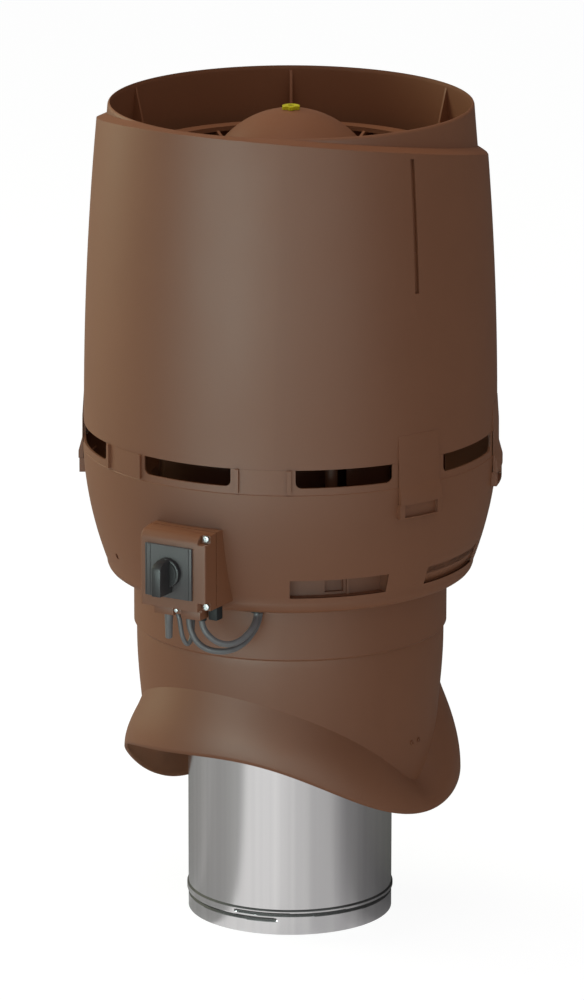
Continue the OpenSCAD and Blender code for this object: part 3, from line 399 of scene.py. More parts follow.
def sheetPiece(name, bm, finishNames, thickness, smoothAngle):
    bmesh.ops.recalc_face_normals(bm, faces=bm.faces)
    # an open tube has no inside: faces are turned by hand to look away from the axis
    probe = max(bm.faces, key=lambda f: f.calc_area())
    middle = probe.calc_center_median()
    if probe.normal.dot(Vector((middle.x, middle.y, 0))) < 0:
        bmesh.ops.reverse_faces(bm, faces=bm.faces)
    piece = meshPiece(name, bm, finishNames, smoothAngle)
    wall = piece.modifiers.new("wall", "SOLIDIFY")
    wall.thickness = thickness * mm
    wall.offset = -1
    wall.use_even_offset = True
    return piece


skirtFacts = {
    "waistR": 145.0, "waistZ": 211.0, "pipeR": 149.7, "topZ": 341.5, "straightZ": 283.0,
    "hemR": 165.0, "hemSideReach": 2.4, "hemWideAngle": 115.0, "hemMeanZ": 153.0, "hemFrontRise": 15.0,
    "hemSideRise": 8.0, "hemSaddle": 34.0, "hemTwist": 12.7, "hemLobe": 8.0, "hemRipple": 6.0,
    "creaseTopZ": 254.0, "creaseDrop": 102.0, "creaseTurn": 3.0, "creaseFront": 0.4, "creaseBack": 0.28,
    "creaseSoft": 0.01, "flareLeast": 14, "wall": 2.6, "segments": 240, "pipeRows": 8, "flareRows": 16,
}


def pipeSide(z, s):
    start = s["straightZ"]
    t = max(0.0, min(1.0, (start - z) / (start - s["waistZ"])))
    return s["waistR"] + (s["pipeR"] - s["waistR"]) * cos(radians(90 * t))


def creaseHeight(a, s):
    c = cos(radians(a + s["creaseTurn"]))
    power = s["creaseFront"] if c > 0 else s["creaseBack"]
    soft = s["creaseSoft"]
    share = ((c * c + soft) ** power - soft ** power) / ((1 + soft) ** power - soft ** power)
    return s["creaseTopZ"] - s["creaseDrop"] * (1 - share)


def hemHeight(a, s):
    r = radians(a)
    return (s["hemMeanZ"] + s["hemFrontRise"] * cos(r) + s["hemSideRise"] * sin(r)
            + s["hemSaddle"] * cos(2 * r) - s["hemTwist"] * sin(2 * r)
            - s["hemLobe"] * cos(3 * r) + s["hemRipple"] * sin(4 * r))


def skirtPlace(a, row):
    s = skirtFacts
    high = min(creaseHeight(a, s), s["creaseTopZ"])
    low = min(hemHeight(a, s), high - s["flareLeast"])
    if row <= s["pipeRows"]:
        if row == 0:
            z = s["topZ"]
        else:
            z = s["straightZ"] + (high - s["straightZ"]) * (row - 1) / (s["pipeRows"] - 1)
        return pipeSide(z, s), z
    t = (row - s["pipeRows"]) / s["flareRows"]
    z = high + (low - high) * t
    start = pipeSide(z, s)
    hem = s["hemR"] + s["hemSideReach"] * cos(radians(a - s["hemWideAngle"]))
    return start + (hem - start) * sin(radians(90 * t)), z


skirtRows = skirtFacts["pipeRows"] + skirtFacts["flareRows"] + 1
skirtMesh = revolveRows(skirtFacts["segments"], skirtRows, skirtPlace)
settle(sheetPiece("roofSkirt", skirtMesh, ["brownPlastic"], skirtFacts["wall"], 20), ["roof_pipe"])

ductFacts = {
    "radius": 100.0, "wall": 1.0, "topZ": 384.0, "flangeR": 116.0,
    "lapHigh": 20.6, "lapDrop": 5.6, "lapStart": -2.0, "lapTurn": 385.0,
    "grooveDepth": 1.1, "grooveWidth": 1.0, "beadR": 1.3, "beadTop": 25.0,
    "stopBeadZ": 207.0, "stopBead": 1.2,
    "lapZone": (9, 29), "segments": 288,
}
# close rows where the lap and the beads are
ductHeights = ([0, 0.6, 6, 10] + [11 + 0.5 * i for i in range(34)]
               + [30, 70, 120, 170, 204.6, 205.8, 207, 208.2, 209.4, 214, 300, 384.0])


def grooveDepthAt(a, z, d):
    # the lap runs once round and a little more; both turns are tried
    deep = 0.0
    for turn in (0, 360):
        along = (a - d["lapStart"]) % 360 + turn
        if along > d["lapTurn"]:
            continue
        ends = min(1.0, along / 2.0, (d["lapTurn"] - along) / 2.0)
        middle = d["lapHigh"] - d["lapDrop"] * along / 360
        deep = max(deep, ends * exp(-((z - middle) / d["grooveWidth"]) ** 2))
    return deep * d["grooveDepth"]


def ductPlace(a, row):
    d = ductFacts
    if row == len(ductHeights):
        return d["flangeR"], d["topZ"]
    z = ductHeights[row]
    r = d["radius"]
    along = (a - d["lapStart"]) % 360
    middle = d["lapHigh"] - d["lapDrop"] * along / 360
    low, high = middle + 1.0, d["beadTop"]
    if low < z < high:
        t = (z - low) / (high - low)
        r += d["beadR"] * min(1.0, 6 * t, 8 * (1 - t))
    if d["lapZone"][0] < z < d["lapZone"][1]:
        r -= grooveDepthAt(a, z, d)
    r += d["stopBead"] * max(0.0, 1 - abs(z - d["stopBeadZ"]) / 2.4)
    return r, z


def paintGrooveShade(bm, d):
    # faces down in the lap groove and on the bead's upper edge take a dark finish: painted shade in the
    # groove, and painted shade over the bead edge's highlight
    low, high = d["lapZone"]
    for f in bm.faces:
        at = f.calc_center_median() / mm
        a = degrees(atan2(at.x, -at.y))
        edge = abs(at.z - d["beadTop"] + 0.5) < 0.8
        if low < at.z < high and (edge or grooveDepthAt(a, at.z, d) > 0.01 * d["grooveDepth"]):
            f.material_index = 1


ductMesh = revolveRows(ductFacts["segments"], len(ductHeights) + 1, ductPlace)
paintGrooveShade(ductMesh, ductFacts)
settle(sheetPiece("ductShell", ductMesh, ["rolledSheet", "paintedShadeSteel"], ductFacts["wall"], 60),
       ["duct_pipe"])
print("skirt and duct turned")


# Solid pieces: closed outlines turned or pushed, then cut where the real one is open

def outlineFace(points):
    bm = bmesh.new()
    bm.faces.new([bm.verts.new(p) for p in points])
    return bm


def turned(points, steps=240, bearing=0.0, sweep=360.0):
    # a closed outline of (radius, height) pairs, turned about the upright axis
    a = radians(bearing)
    bm = outlineFace([(r * mm * sin(a), -r * mm * cos(a), z * mm) for r, z in points])
    full = sweep >= 360
    if full:
        bmesh.ops.delete(bm, geom=bm.faces[:], context="FACES_ONLY")
    bmesh.ops.spin(bm, geom=bm.verts[:] + bm.edges[:] + bm.faces[:], cent=(0, 0, 0), axis=(0, 0, 1),
                   angle=radians(sweep), steps=steps, use_merge=full)
    bmesh.ops.remove_doubles(bm, verts=bm.verts, dist=0.000002)
    bmesh.ops.recalc_face_normals(bm, faces=bm.faces)
    return bm


def sector(angle, half, rIn, rOut, zLow, zHigh):
    return turned([(rIn, zLow), (rOut, zLow), (rOut, zHigh), (rIn, zHigh)],
                  max(2, round(half)), angle - half, 2 * half)


def pushed(points, push):
    # a flat closed outline in millimetres, extruded along a vector
    bm = outlineFace([Vector(p) * mm for p in points])
    made = bmesh.ops.extrude_face_region(bm, geom=bm.faces[:])["geom"]
    far = [g for g in made if isinstance(g, bmesh.types.BMVert)]
    bmesh.ops.translate(bm, verts=far, vec=Vector(push) * mm)
    bmesh.ops.recalc_face_normals(bm, faces=bm.faces)
    return bm


def block(x, y, z):
    bm = bmesh.new()
    bmesh.ops.create_cube(bm, size=1)
    size = Vector((x[1] - x[0], y[1] - y[0], z[1] - z[0]))
    middle = Vector((x[0] + x[1], y[0] + y[1], z[0] + z[1])) * 0.5
    bmesh.ops.scale(bm, vec=size * mm, verts=bm.verts)
    bmesh.ops.translate(bm, vec=middle * mm, verts=bm.verts)
    return bm


def disc(r, at, axis, length, segments=48, rTop=None):
    bm = bmesh.new()
    bmesh.ops.create_cone(bm, cap_ends=True, segments=segments, radius1=r * mm,
                          radius2=(r if rTop is None else rTop) * mm, depth=length * mm)
    turn = Vector((0, 0, 1)).rotation_difference(Vector(axis)).to_matrix()
    bmesh.ops.rotate(bm, cent=(0, 0, 0), matrix=turn, verts=bm.verts)
    bmesh.ops.translate(bm, vec=(Vector(at) + Vector(axis) * length / 2) * mm, verts=bm.verts)
    return bm


def turnBy(bm, angle, axis="Z"):
    turn = Matrix.Rotation(radians(angle), 3, axis)
    bmesh.ops.rotate(bm, cent=(0, 0, 0), matrix=turn, verts=bm.verts)
    return bm


def roundEdges(bm, width, chosen=None, segments=2):
    # rounds the sharp edges, or those of them that chosen picks
    sharp = [e for e in bm.edges if e.is_manifold and e.calc_face_angle(0) > 0.6]
    bmesh.ops.bevel(bm, geom=[e for e in sharp if chosen is None or chosen(e)], offset=width * mm,
                    offset_type="OFFSET", affect="EDGES", segments=segments, profile=0.5, material=-1,
                    clamp_overlap=True)
    return bm


def together(pieces):
    bm = bmesh.new()
    for piece in pieces:
        data = bpy.data.meshes.new("part")
        piece.to_mesh(data)
        piece.free()
        bm.from_mesh(data)
        bpy.data.meshes.remove(data)
    return bm


def shaped(bm, operation, tools):
    # each tool cuts, joins or crosses the piece in turn; the tools are gone afterwards
    work = []
    for source in [bm] + list(tools):
        data = bpy.data.meshes.new("shaping")
        source.to_mesh(data)
        source.free()
        work.append(newObject("shaping", data))
    for tool in work[1:]:
        step = work[0].modifiers.new("step", "BOOLEAN")
        step.operation = operation
        step.solver = "EXACT"
        step.object = tool
    seen = work[0].evaluated_get(bpy.context.evaluated_depsgraph_get())
    result = bpy.data.meshes.new_from_object(seen)
    out = bmesh.new()
    out.from_mesh(result)
    bpy.data.meshes.remove(result)
    for thing in work:
        data = thing.data
        bpy.data.objects.remove(thing)
        bpy.data.meshes.remove(data)
    return out


def placePiece(name, bm, replaced=(), finish="brownPlastic", body="casing"):
    bmesh.ops.remove_doubles(bm, verts=bm.verts, dist=0.000001)
    settle(meshPiece(name, bm, [finish], 32), replaced, body)


def mixed(a, b, t):
    return a + (b - a) * t


def bowed(a, b, bulge, t):
    return mixed(a, b, t) + 4 * bulge * t * (1 - t)


# Lower casing: angles are bearings in degrees from the switch, growing to its right
bowlFacts = {
    "r": 201.0, "footR": 178.5, "bulge": 4.7, "bottomZ": 345.5, "footZ": 357.0, "rimZ": 468.8, "topZ": 493.6,
    "bandStep": 0.6, "wall": 2.8, "corner": 11.0, "collarR": 152.4, "pipeR": 149.7, "collarEndZ": 294.0,
    "holeR": 100.4, "steps": 288, "lapIn": 1.2,
    "slots": 8, "slotPitch": 45.0, "slotHalf": 13.6, "slotZ": 476.0, "slotCorner": 6.0,
    "ridgeHalf": 15.4, "ridgeW": 1.1, "ridgeProud": 1.9, "ridgeLowZ": 470.6,
    "pocketAt": (45, 135, 180, 225), "scoopAt": (90, -90, -45),
    "pocketHalf": 15.2, "pocketZ": (363.0, 382.0), "pocketDeep": 11.0, "scoopDeep": 4.6,
    "scoopRise": 5, "cupMargin": 0.9, "windowHalf": 3.1, "windowTurn": -0.8, "windowIn": (2.6, 3.8),
    "ribTurn": 3.6, "ribHalf": 0.4,
    "catchAt": (67.5, 112.5, -67.5, -112.5), "catchHalf": 7.0, "catchLowZ": 439.0, "catchLeg": 1.5,
    "catchBar": 1.4, "tongueLowZ": 453.0, "tongueProud": 4.8,
    "drainTurn": -34.1, "drainZ": 377.0, "drainR": 2.9,
}


def bowlSide(z, s=bowlFacts):
    return bowed(s["footR"], s["r"], s["bulge"], (z - s["footZ"]) / (s["rimZ"] - s["footZ"]))


def bowlCorner(r, z, radius, steps=6):
    turn = [radians(90 * i / steps) for i in range(steps + 1)]
    return [(r - radius + radius * sin(t), z + radius - radius * cos(t)) for t in turn]


def bowlProfile(s):
    sides = [mixed(s["footZ"], s["rimZ"], i / 14) for i in range(15)]
    foot, low, wall = bowlSide(s["footZ"]), s["bottomZ"], s["wall"]
    outer = [(s["pipeR"] + 0.15, s["collarEndZ"] - 2), (s["pipeR"] + 0.6, s["collarEndZ"] - 2),
             (s["collarR"], s["collarEndZ"]), (s["collarR"], low)]
    outer += bowlCorner(foot, low, s["corner"]) + [(bowlSide(z), z) for z in sides]
    band = s["r"] - s["bandStep"]
    outer += [(band, s["rimZ"] + 0.6), (band, s["topZ"]), (s["r"] - wall, s["topZ"])]
    inner = bowlCorner(foot - wall, low + wall, s["corner"] - wall) + [(bowlSide(z) - wall, z) for z in sides]
    return outer + inner[::-1] + [(s["holeR"], low + wall), (s["holeR"], low), (s["pipeR"] + 0.15, low)]


def slotTool(s, bearing):
    w, r = s["r"] * sin(radians(s["slotHalf"])), s["slotCorner"]
    arc = [radians(90 * i / 6) for i in range(7)]
    points = [(w, s["topZ"] + 5)]
    points += [(w - r + r * cos(t), s["slotZ"] + r - r * sin(t)) for t in arc]
    points += [(-w + r - r * sin(t), s["slotZ"] + r - r * cos(t)) for t in arc]
    points += [(-w, s["topZ"] + 5)]
    return turnBy(pushed([(x, 12 - s["r"], z) for x, z in points], (0, -20, 0)), bearing)


def scoopTool(s, bearing):
    # deep at its lower end and nothing at its upper one
    low, high = s["pocketZ"][0], s["pocketZ"][1] + s["scoopRise"]
    points = [(bowlSide(low) - s["scoopDeep"], low), (s["r"], low), (s["r"], high),
              (bowlSide(high) + 0.3, high)]
    return turned(points, 30, bearing - s["pocketHalf"], 2 * s["pocketHalf"])


def scoopCup(s, bearing):
    low, high, wall = s["pocketZ"][0], s["pocketZ"][1] + s["scoopRise"], s["wall"]
    half = s["pocketHalf"] + s["cupMargin"]
    zs = [mixed(low - wall, high, i / 3) for i in range(4)]
    points = [(bowlSide(low) - s["scoopDeep"] - wall, low - wall)]
    points += [(bowlSide(z) - s["lapIn"], z) for z in zs] + [(bowlSide(high) - wall - 0.4, high)]
    return shaped(turned(points, 32, bearing - half, 2 * half), "DIFFERENCE", [scoopTool(s, bearing)])


def pocketCup(s, bearing):
    # the thin walls behind one deep pocket, with its window and the low rib beside it
    low, high = s["pocketZ"]
    backR, wall, half = bowlSide(low) - s["pocketDeep"], s["wall"], s["pocketHalf"] + s["cupMargin"]
    zs = [mixed(low - wall, high + wall, i / 3) for i in range(4)]
    points = [(backR - wall, low - wall)] + [(bowlSide(z) - s["lapIn"], z) for z in zs]
    cup = turned(points + [(backR - wall, high + wall)], 32, bearing - half, 2 * half)
    at, under, over = bearing + s["windowTurn"], s["windowIn"][0], s["windowIn"][1]
    boss = sector(at, s["windowHalf"] + 1, backR - wall - 3.5, backR - 1, low + 1, high - 2)
    window = sector(at, s["windowHalf"], backR - wall - 1.8, backR + 3, low + under, high - over)
    space = sector(bearing, s["pocketHalf"], backR, s["r"], low, high)
    cup = shaped(shaped(cup, "UNION", [boss]), "DIFFERENCE", [space, window])
    rib = sector(bearing + s["ribTurn"], s["ribHalf"], backR - 1, backR + 2.4, low - 1, high + 1)
    return together([cup, rib])


def catchFrame(s, bearing):
    # two legs, a bar between their lower ends, and the face behind them
    rIn, rOut, leg = s["r"] - 6, s["r"] + s["tongueProud"] - 0.8, s["catchLeg"]
    low, high, half = s["catchLowZ"], s["tongueLowZ"] - 0.15, s["catchHalf"]
    legs = [sector(bearing + side * (half - leg / 2), leg / 2, rIn, rOut, low, high) for side in (-1, 1)]
    return legs + [sector(bearing, half - leg, rIn, rOut, low, low + s["catchBar"]),
                   sector(bearing, half - leg, rIn, s["r"] + 0.2, low, high)]


def makeBowl(s):
    low, high = s["pocketZ"]
    turns = [i * s["slotPitch"] for i in range(s["slots"])]
    tools = [slotTool(s, a) for a in turns] + [scoopTool(s, a) for a in s["scoopAt"]]
    tools += [sector(a, s["pocketHalf"], bowlSide(low) - s["pocketDeep"], s["r"] + 2, low, high)
              for a in s["pocketAt"]]
    out = direction(s["drainTurn"], 0)
    tools.append(disc(s["drainR"], out * 160 + Vector((0, 0, s["drainZ"])), out, 40, 24))
    shell = shaped(turned(bowlProfile(s), s["steps"]), "DIFFERENCE", [together(tools)])
    extras = [pocketCup(s, a) for a in s["pocketAt"]] + [scoopCup(s, a) for a in s["scoopAt"]]
    for a in turns:
        for side in (-1, 1):
            at = a + side * s["ridgeHalf"]
            # no ridge under a tongue
            if min(abs((at - c + 180) % 360 - 180) for c in s["catchAt"]) > s["catchHalf"] + 1:
                extras.append(sector(at, s["ridgeW"] / 2, s["r"] - 1.5, s["r"] + s["ridgeProud"],
                                     s["ridgeLowZ"], s["topZ"]))
    for a in s["catchAt"]:
        extras += catchFrame(s, a)
    return together([shell] + extras)


placePiece("slottedBowl", makeBowl(bowlFacts), ["lower_casing"])
print("bowl turned and cut")


# Hat, outlet fins, dome and foam
hatFacts = {
    "r": 200.1, "topR": 186.7, "bulge": 3.3, "joinZ": 786.0, "topZ": 806.7, "wall": 2.6, "bandZ": 493.6,
    "lipZ": 770.0, "lipSlope": 9.95, "shoulderW": 12.5, "shoulderH": 9.5, "shoulderInner": 20.5,
    "lipReach": 3.8,
    "grooveTurn": 67.4, "grooveHalf": 0.72, "grooveDeep": 3.4, "grooveLowZ": 654.0,
    "skin": 0.7, "tabTurn": 22.5, "tabHalf": 6, "tabWall": 2.4, "steps": 288,
}
outletFacts = {
    "r": 175.8, "flare": 0.0865, "topZ": 806.7, "roll": 3.7, "footZ": 690.0, "wall": 2.4, "guardZ": 755.0,
    "finDeep": 15.2, "finT": 2.7, "finTurn": 30, "fins": 6,
}


def hatSide(z, s=hatFacts):
    return bowed(s["r"], s["topR"], s["bulge"], (z - s["bandZ"]) / (s["joinZ"] - s["bandZ"]))


def outletSide(z, s=outletFacts):
    return s["r"] + (s["topZ"] - s["roll"] - z) * s["flare"]


def hatCore(s, inset, zLow):
    zs = [mixed(zLow, s["topZ"], i / 16) for i in range(17)]
    return turned([(0, zLow)] + [(hatSide(z) - inset, z) for z in zs] + [(0, s["topZ"])], s["steps"])


def underLip(s, inset):
    # everything under the slanted lip: its shoulder is turned upright, then tilted
    edge, w, h = s["topR"] + s["lipReach"], s["shoulderW"], s["shoulderH"]
    innerH = h * (0.3 + 0.7 * s["shoulderInner"] / w)
    bm = turned([(0, -600), (300, -600), (300, -255), (edge + 3, -5), (edge, 0), (edge - 0.07 * w, 0.23 * h),
                 (edge - 0.2 * w, 0.42 * h), (edge - 0.4 * w, 0.58 * h), (edge - s["shoulderInner"], innerH),
                 (0, innerH)], s["steps"])
    turnBy(bm, -s["lipSlope"], "X")
    bmesh.ops.translate(bm, vec=(0, 0, (s["lipZ"] - inset) * mm), verts=bm.verts)
    return bm


def makeGroove(s):
    # a groove down the side from under the lip, and the thicker wall behind it
    low, half, turn = s["grooveLowZ"], s["grooveHalf"], s["grooveTurn"]
    reach, middle = hatSide(low) + 3, hatSide((low + s["joinZ"]) / 2)
    backing = shaped(sector(turn, half + 0.7, reach - 16, reach, low - 2, s["topZ"]), "INTERSECT",
                     [hatCore(s, 1.2, s["bandZ"]), underLip(s, 1.2)])
    zs = [mixed(low, s["joinZ"], i / 8) for i in range(9)]
    points = [(middle - 12, low)] + [(hatSide(z) + 2, z) for z in zs] + [(middle - 12, s["joinZ"])]
    groove = turned(points, 4, turn - half, 2 * half)
    groove = shaped(groove, "DIFFERENCE", [hatCore(s, s["grooveDeep"], low - 5)])
    return backing, shaped(groove, "INTERSECT", [underLip(s, 5)])


def makeTongues(s, b):
    lowIn, r, proud = b["r"] + 0.15, b["r"], b["tongueProud"]
    low, rim, top, half = b["tongueLowZ"], b["rimZ"], s["bandZ"], b["catchHalf"] - 0.1
    points = [(lowIn, low), (r + proud, low), (r + proud, low + 7), (r + 0.5 * proud, rim),
              (lowIn + s["skin"] + 0.2, rim + 5), (lowIn + s["skin"], top + 2), (s["r"] + 0.1, top + 26),
              (s["r"] - 1, top + 26), (s["r"] - 1, top), (lowIn, top)]
    return [turned(points, 14, a - half, 2 * half) for a in b["catchAt"]]


def makeHat(s, b):
    backing, groove = makeGroove(s)
    outer = shaped(hatCore(s, 0, s["bandZ"]), "INTERSECT", [underLip(s, 0)])
    inner = shaped(hatCore(s, s["wall"], s["bandZ"] - 1), "INTERSECT", [underLip(s, s["wall"] + 0.4)])
    holeLow, holeTop = s["lipZ"] - 70, s["topZ"] + 5
    hole = turned([(0, holeLow), (outletSide(holeLow) + 0.15, holeLow), (outletSide(holeTop) + 0.15, holeTop),
                   (0, holeTop)], s["steps"])
    shell = shaped(shaped(outer, "DIFFERENCE", [inner]), "UNION", [backing])
    shell = shaped(shell, "DIFFERENCE", [hole, groove])
    tabR = b["r"] - b["wall"] - 0.2
    tabs = [sector(s["tabTurn"] + i * b["slotPitch"], s["tabHalf"], tabR - s["tabWall"], tabR, b["slotZ"],
                   s["bandZ"] + 12) for i in range(b["slots"])]
    return together([shell] + makeTongues(s, b) + tabs)


placePiece("liftedHat", makeHat(hatFacts, bowlFacts), ["hat_shroud"])


def makeFins(s):
    top = s["topZ"] - s["roll"]
    finR = outletSide(s["guardZ"]) - s["wall"] - s["finDeep"]
    points = [(outletSide(s["footZ"]) - 1, s["footZ"]), (finR, s["footZ"]), (finR, s["guardZ"]),
              (s["r"] - s["wall"], top - 1), (s["r"] - 1, top - 1)]
    outline = [(-s["finT"] / 2, -r, z) for r, z in points]
    return together([turnBy(pushed(outline, (s["finT"], 0, 0)), s["finTurn"] + i * 360 / s["fins"])
                     for i in range(s["fins"])])


placePiece("outletFins", makeFins(outletFacts))

domeFacts = {"sideR": 80.0, "crownR": 86.0, "poleZ": 799.2, "wall": 2.5, "footZ": 559.0, "flangeR": 84.0,
             "ledgeZ": 694.0, "ledgeH": 5.9, "ledge": 2.5, "holeR": 3.2, "steps": 144}


def makeDome(s):
    centre, crowns = s["poleZ"] - s["crownR"], []
    for inset in (0, s["wall"]):
        r = s["crownR"] - inset
        first = acos((s["sideR"] - inset) / r)
        last = acos(s["holeR"] / r)
        crowns.append([(r * cos(t), centre + r * sin(t))
                       for t in (mixed(first, last, i / 18) for i in range(19))])
    side, wall = s["sideR"], s["wall"]
    points = [(side - wall, s["footZ"]), (s["flangeR"], s["footZ"]), (s["flangeR"], s["footZ"] + wall),
              (side, s["footZ"] + wall), (side, s["ledgeZ"]), (side + s["ledge"], s["ledgeZ"]),
              (side + s["ledge"], s["ledgeZ"] + s["ledgeH"]), (side, s["ledgeZ"] + s["ledgeH"])]
    return turned(points + crowns[0] + crowns[1][::-1], s["steps"])


placePiece("motorDome", makeDome(domeFacts), ["dome_cover"])

skirtScrewFacts = {
    "angles": (84.3, 89.2, -84.3, -89.2), "r": 145.1, "z": 191.0, "headR": 2.2, "headH": 1.1,
    "socketR": 1.2, "socketIn": 0.5,
}


def makeSkirtScrews(s):
    heads = []
    for a in s["angles"]:
        out = direction(a, 0)
        at = out * s["r"] + Vector((0, 0, s["z"]))
        socket = disc(s["socketR"], at + out * s["socketIn"], out, 2, 16)
        heads.append(shaped(disc(s["headR"], at, out, s["headH"], 24), "DIFFERENCE", [socket]))
    return together(heads)


placePiece("skirtHeads", makeSkirtScrews(skirtScrewFacts), ["skirt_screws"])

foamFacts = {"rIn": 101.4, "rOut": 141.5, "lowZ": 212, "topZ": 340, "steps": 96}
foamOutline = [(foamFacts[r], foamFacts[z]) for r, z in
               (("rIn", "lowZ"), ("rOut", "lowZ"), ("rOut", "topZ"), ("rIn", "topZ"))]
placePiece("foamLining", turned(foamOutline, foamFacts["steps"]), ["duct_insulation"], "foam")
print("hat, fins and dome shaped")


# Isolator: cover, base, plate, knob, screws and plugs

switchFacts = {
    "faceY": 226.0, "coverD": 20.0, "seam": 1.2,
    "x": 2.3, "w": 71.4, "lowZ": 358.0, "highZ": 422.5, "topH": 8.0,
    "topD": 7.5, "backRise": 1.8, "cornerR": 6.0, "screwX": 33.9, "screwZ": (428.0, 361.8), "wellD": 9.6,
    "notch": 4.7, "notchRound": 1.2, "knobX": -1.1, "knobZ": 394.0,
    "plate": 50.8, "plateT": 3.0, "plateGrooves": (-23.8, -19.4, 22.6), "grooveHalf": 0.4,
    "knobR": 14.2, "discD": 5.0, "knobGap": 0.4, "rimGroove": (1.7, 2.6), "rimGrooveDeep": 1.0,
    "gripW": 9.5, "gripReach": 22.0, "gripDrop": 19.4, "gripRise": 13.6, "gripRound": 7.0,
    "chinH": 4.0, "chinHalfW": 28.0, "chinD": 11.0, "entryX": (4.7, 26.2), "entryD": 16, "entryDrop": 7.7,
    "tabX": (-23.1, -1.8), "tabD": (-3, 13), "tabDrop": 5.5, "bossX": (-2.8, 5.7), "bossZ": (349.6, 356.6),
    "bossD": 9, "chinScrew": (0.4, 353.4),
    "coverHead": (3.3, 2.6, 1.9), "chinHead": (2.0, 2.2, 1.2),      # radius, height, half width of the cross
}


def near(value, target):
    return abs(value - target * mm) < 0.00005


def makeCover(s):
    # a block whose upper front edge and front corners are rounded, then notched for the two screws
    left, right = s["x"] - s["w"] / 2, s["x"] + s["w"] / 2
    front, topZ = -s["faceY"], s["highZ"] + s["topH"]
    bm = block((left, right), (front, front + s["coverD"]), (s["lowZ"], topZ))
    for v in bm.verts:
        if v.co.y > (front + 1) * mm and v.co.z > (topZ - 1) * mm:
            v.co.z += s["backRise"] * mm
    roundEdges(bm, s["topH"], lambda e: all(near(v.co.y, front) and near(v.co.z, topZ) for v in e.verts), 6)
    roundEdges(bm, s["cornerR"], lambda e: all(v.co.y < (front + s["topD"] + 1) * mm for v in e.verts)
               and any(all(near(v.co.x, side) for v in e.verts) for side in (left, right)), 5)
    notches = []
    for z in s["screwZ"]:
        zs = (z - s["notch"], z + 40) if z > s["knobZ"] else (z - 40, z + s["notch"])
        notch = block((s["screwX"] - s["notch"], right + 5), (front - 3, front + s["wellD"]), zs)
        notches.append(roundEdges(notch, s["notchRound"]))
    return shaped(bm, "DIFFERENCE", notches)


def envelopeTool(b):
    # the bowl's own outside, a hair larger, which shapes the back of the base
    sides = [mixed(b["footZ"], b["rimZ"], i / 14) for i in range(15)]
    points = [(0, b["bottomZ"] - 20), (b["pipeR"], b["bottomZ"] - 20)]
    points += bowlCorner(bowlSide(b["footZ"]) + 0.2, b["bottomZ"] - 0.2, b["corner"])
    points += [(bowlSide(z) + 0.2, z) for z in sides] + [(b["r"], b["topZ"]), (0, b["topZ"])]
    return turned(points, b["steps"])


def makeBase(s, b):
    front = -s["faceY"] + s["coverD"] + s["seam"]
    left, right = s["x"] - s["w"] / 2, s["x"] + s["w"] / 2
    top = s["highZ"] + s["topH"] + s["backRise"]
    chinLow = s["lowZ"] - s["chinH"]
    chinFront = front - s["chinD"]
    chinX, under = (-s["chinHalfW"], s["chinHalfW"]), s["lowZ"] - 0.15
    body, chinBack = (shaped(block(x, (front, -150), z), "DIFFERENCE", [envelopeTool(b)])
                      for x, z in (((left, right), (s["lowZ"], top)), (chinX, (chinLow, s["lowZ"] + 1))))
    chin = block(chinX, (chinFront, front + 1), (chinLow, under))
    entry = block(s["entryX"], (chinFront, chinFront + s["entryD"]), (chinLow - s["entryDrop"], chinLow + 1))
    tabY = [chinFront + d for d in s["tabD"]]
    tab = block(s["tabX"], tabY, (chinLow - s["tabDrop"], under))
    boss = block(s["bossX"], (chinFront, chinFront + s["bossD"]), s["bossZ"])
    seam = block((left + 0.6, right - 0.6), (front - s["seam"], front + 0.5), (s["lowZ"] + 0.6, top - 1.2))
    pieces = [roundEdges(p, 0.7) for p in (chin, entry, tab, boss)]
    return together([body, chinBack, seam] + pieces)


def makePlate(s):
    half, front = s["plate"] / 2, -s["faceY"] - s["plateT"]
    bm = roundEdges(block((s["knobX"] - half, s["knobX"] + half), (front, -s["faceY"]),
                          (s["knobZ"] - half, s["knobZ"] + half)), 0.5)
    zs, thin = (s["knobZ"] - half - 1, s["knobZ"] + half + 1), s["grooveHalf"]
    lines = [block((s["knobX"] + x - thin, s["knobX"] + x + thin), (front - 1, front + 0.5), zs)
             for x in s["plateGrooves"]]
    return shaped(bm, "DIFFERENCE", [together(lines)])


def makeKnob(s):
    x, face, z = s["knobX"], -s["faceY"] - s["plateT"] - s["knobGap"], s["knobZ"]
    wheel = roundEdges(disc(s["knobR"], (x, face, z), (0, -1, 0), s["discD"], 64), 0.6)
    outer, inner = (s["knobR"] - inset for inset in s["rimGroove"])
    deep = s["rimGrooveDeep"]
    groove = turnBy(turned([(inner, -deep), (outer, -deep), (outer, 0.6), (inner, 0.6)], 64), -90, "X")
    bmesh.ops.translate(groove, vec=Vector((x, face - s["discD"], z)) * mm, verts=groove.verts)
    wheel = shaped(wheel, "DIFFERENCE", [groove])
    reach, rise, r = s["gripReach"], s["gripRise"], s["gripRound"]
    points = [(0, -s["gripDrop"]), (0, rise), (-reach + 2 * r, rise)]
    points += [(-reach + 2 * r * (1 - sin(t)), rise - r * (1 - cos(t)))
               for t in (radians(15 * i) for i in range(1, 7))] + [(-reach, -s["gripDrop"])]
    outline = [(x - s["gripW"] / 2, face + y, z + up) for y, up in points]
    return together([wheel, roundEdges(pushed(outline, (s["gripW"], 0, 0)), 0.7)])


def screwHead(at, r, h, slotW):
    # a low round head with a cross in it
    x, y, z = at
    head = roundEdges(disc(r, at, (0, -1, 0), h, 32), 0.3 * h)
    cross = [block((x - slotW, x + slotW), (y - h - 1, y - h + 0.5), (z - 0.3, z + 0.3)),
             block((x - 0.3, x + 0.3), (y - h - 1, y - h + 0.5), (z - slotW, z + slotW))]
    return shaped(head, "DIFFERENCE", cross)


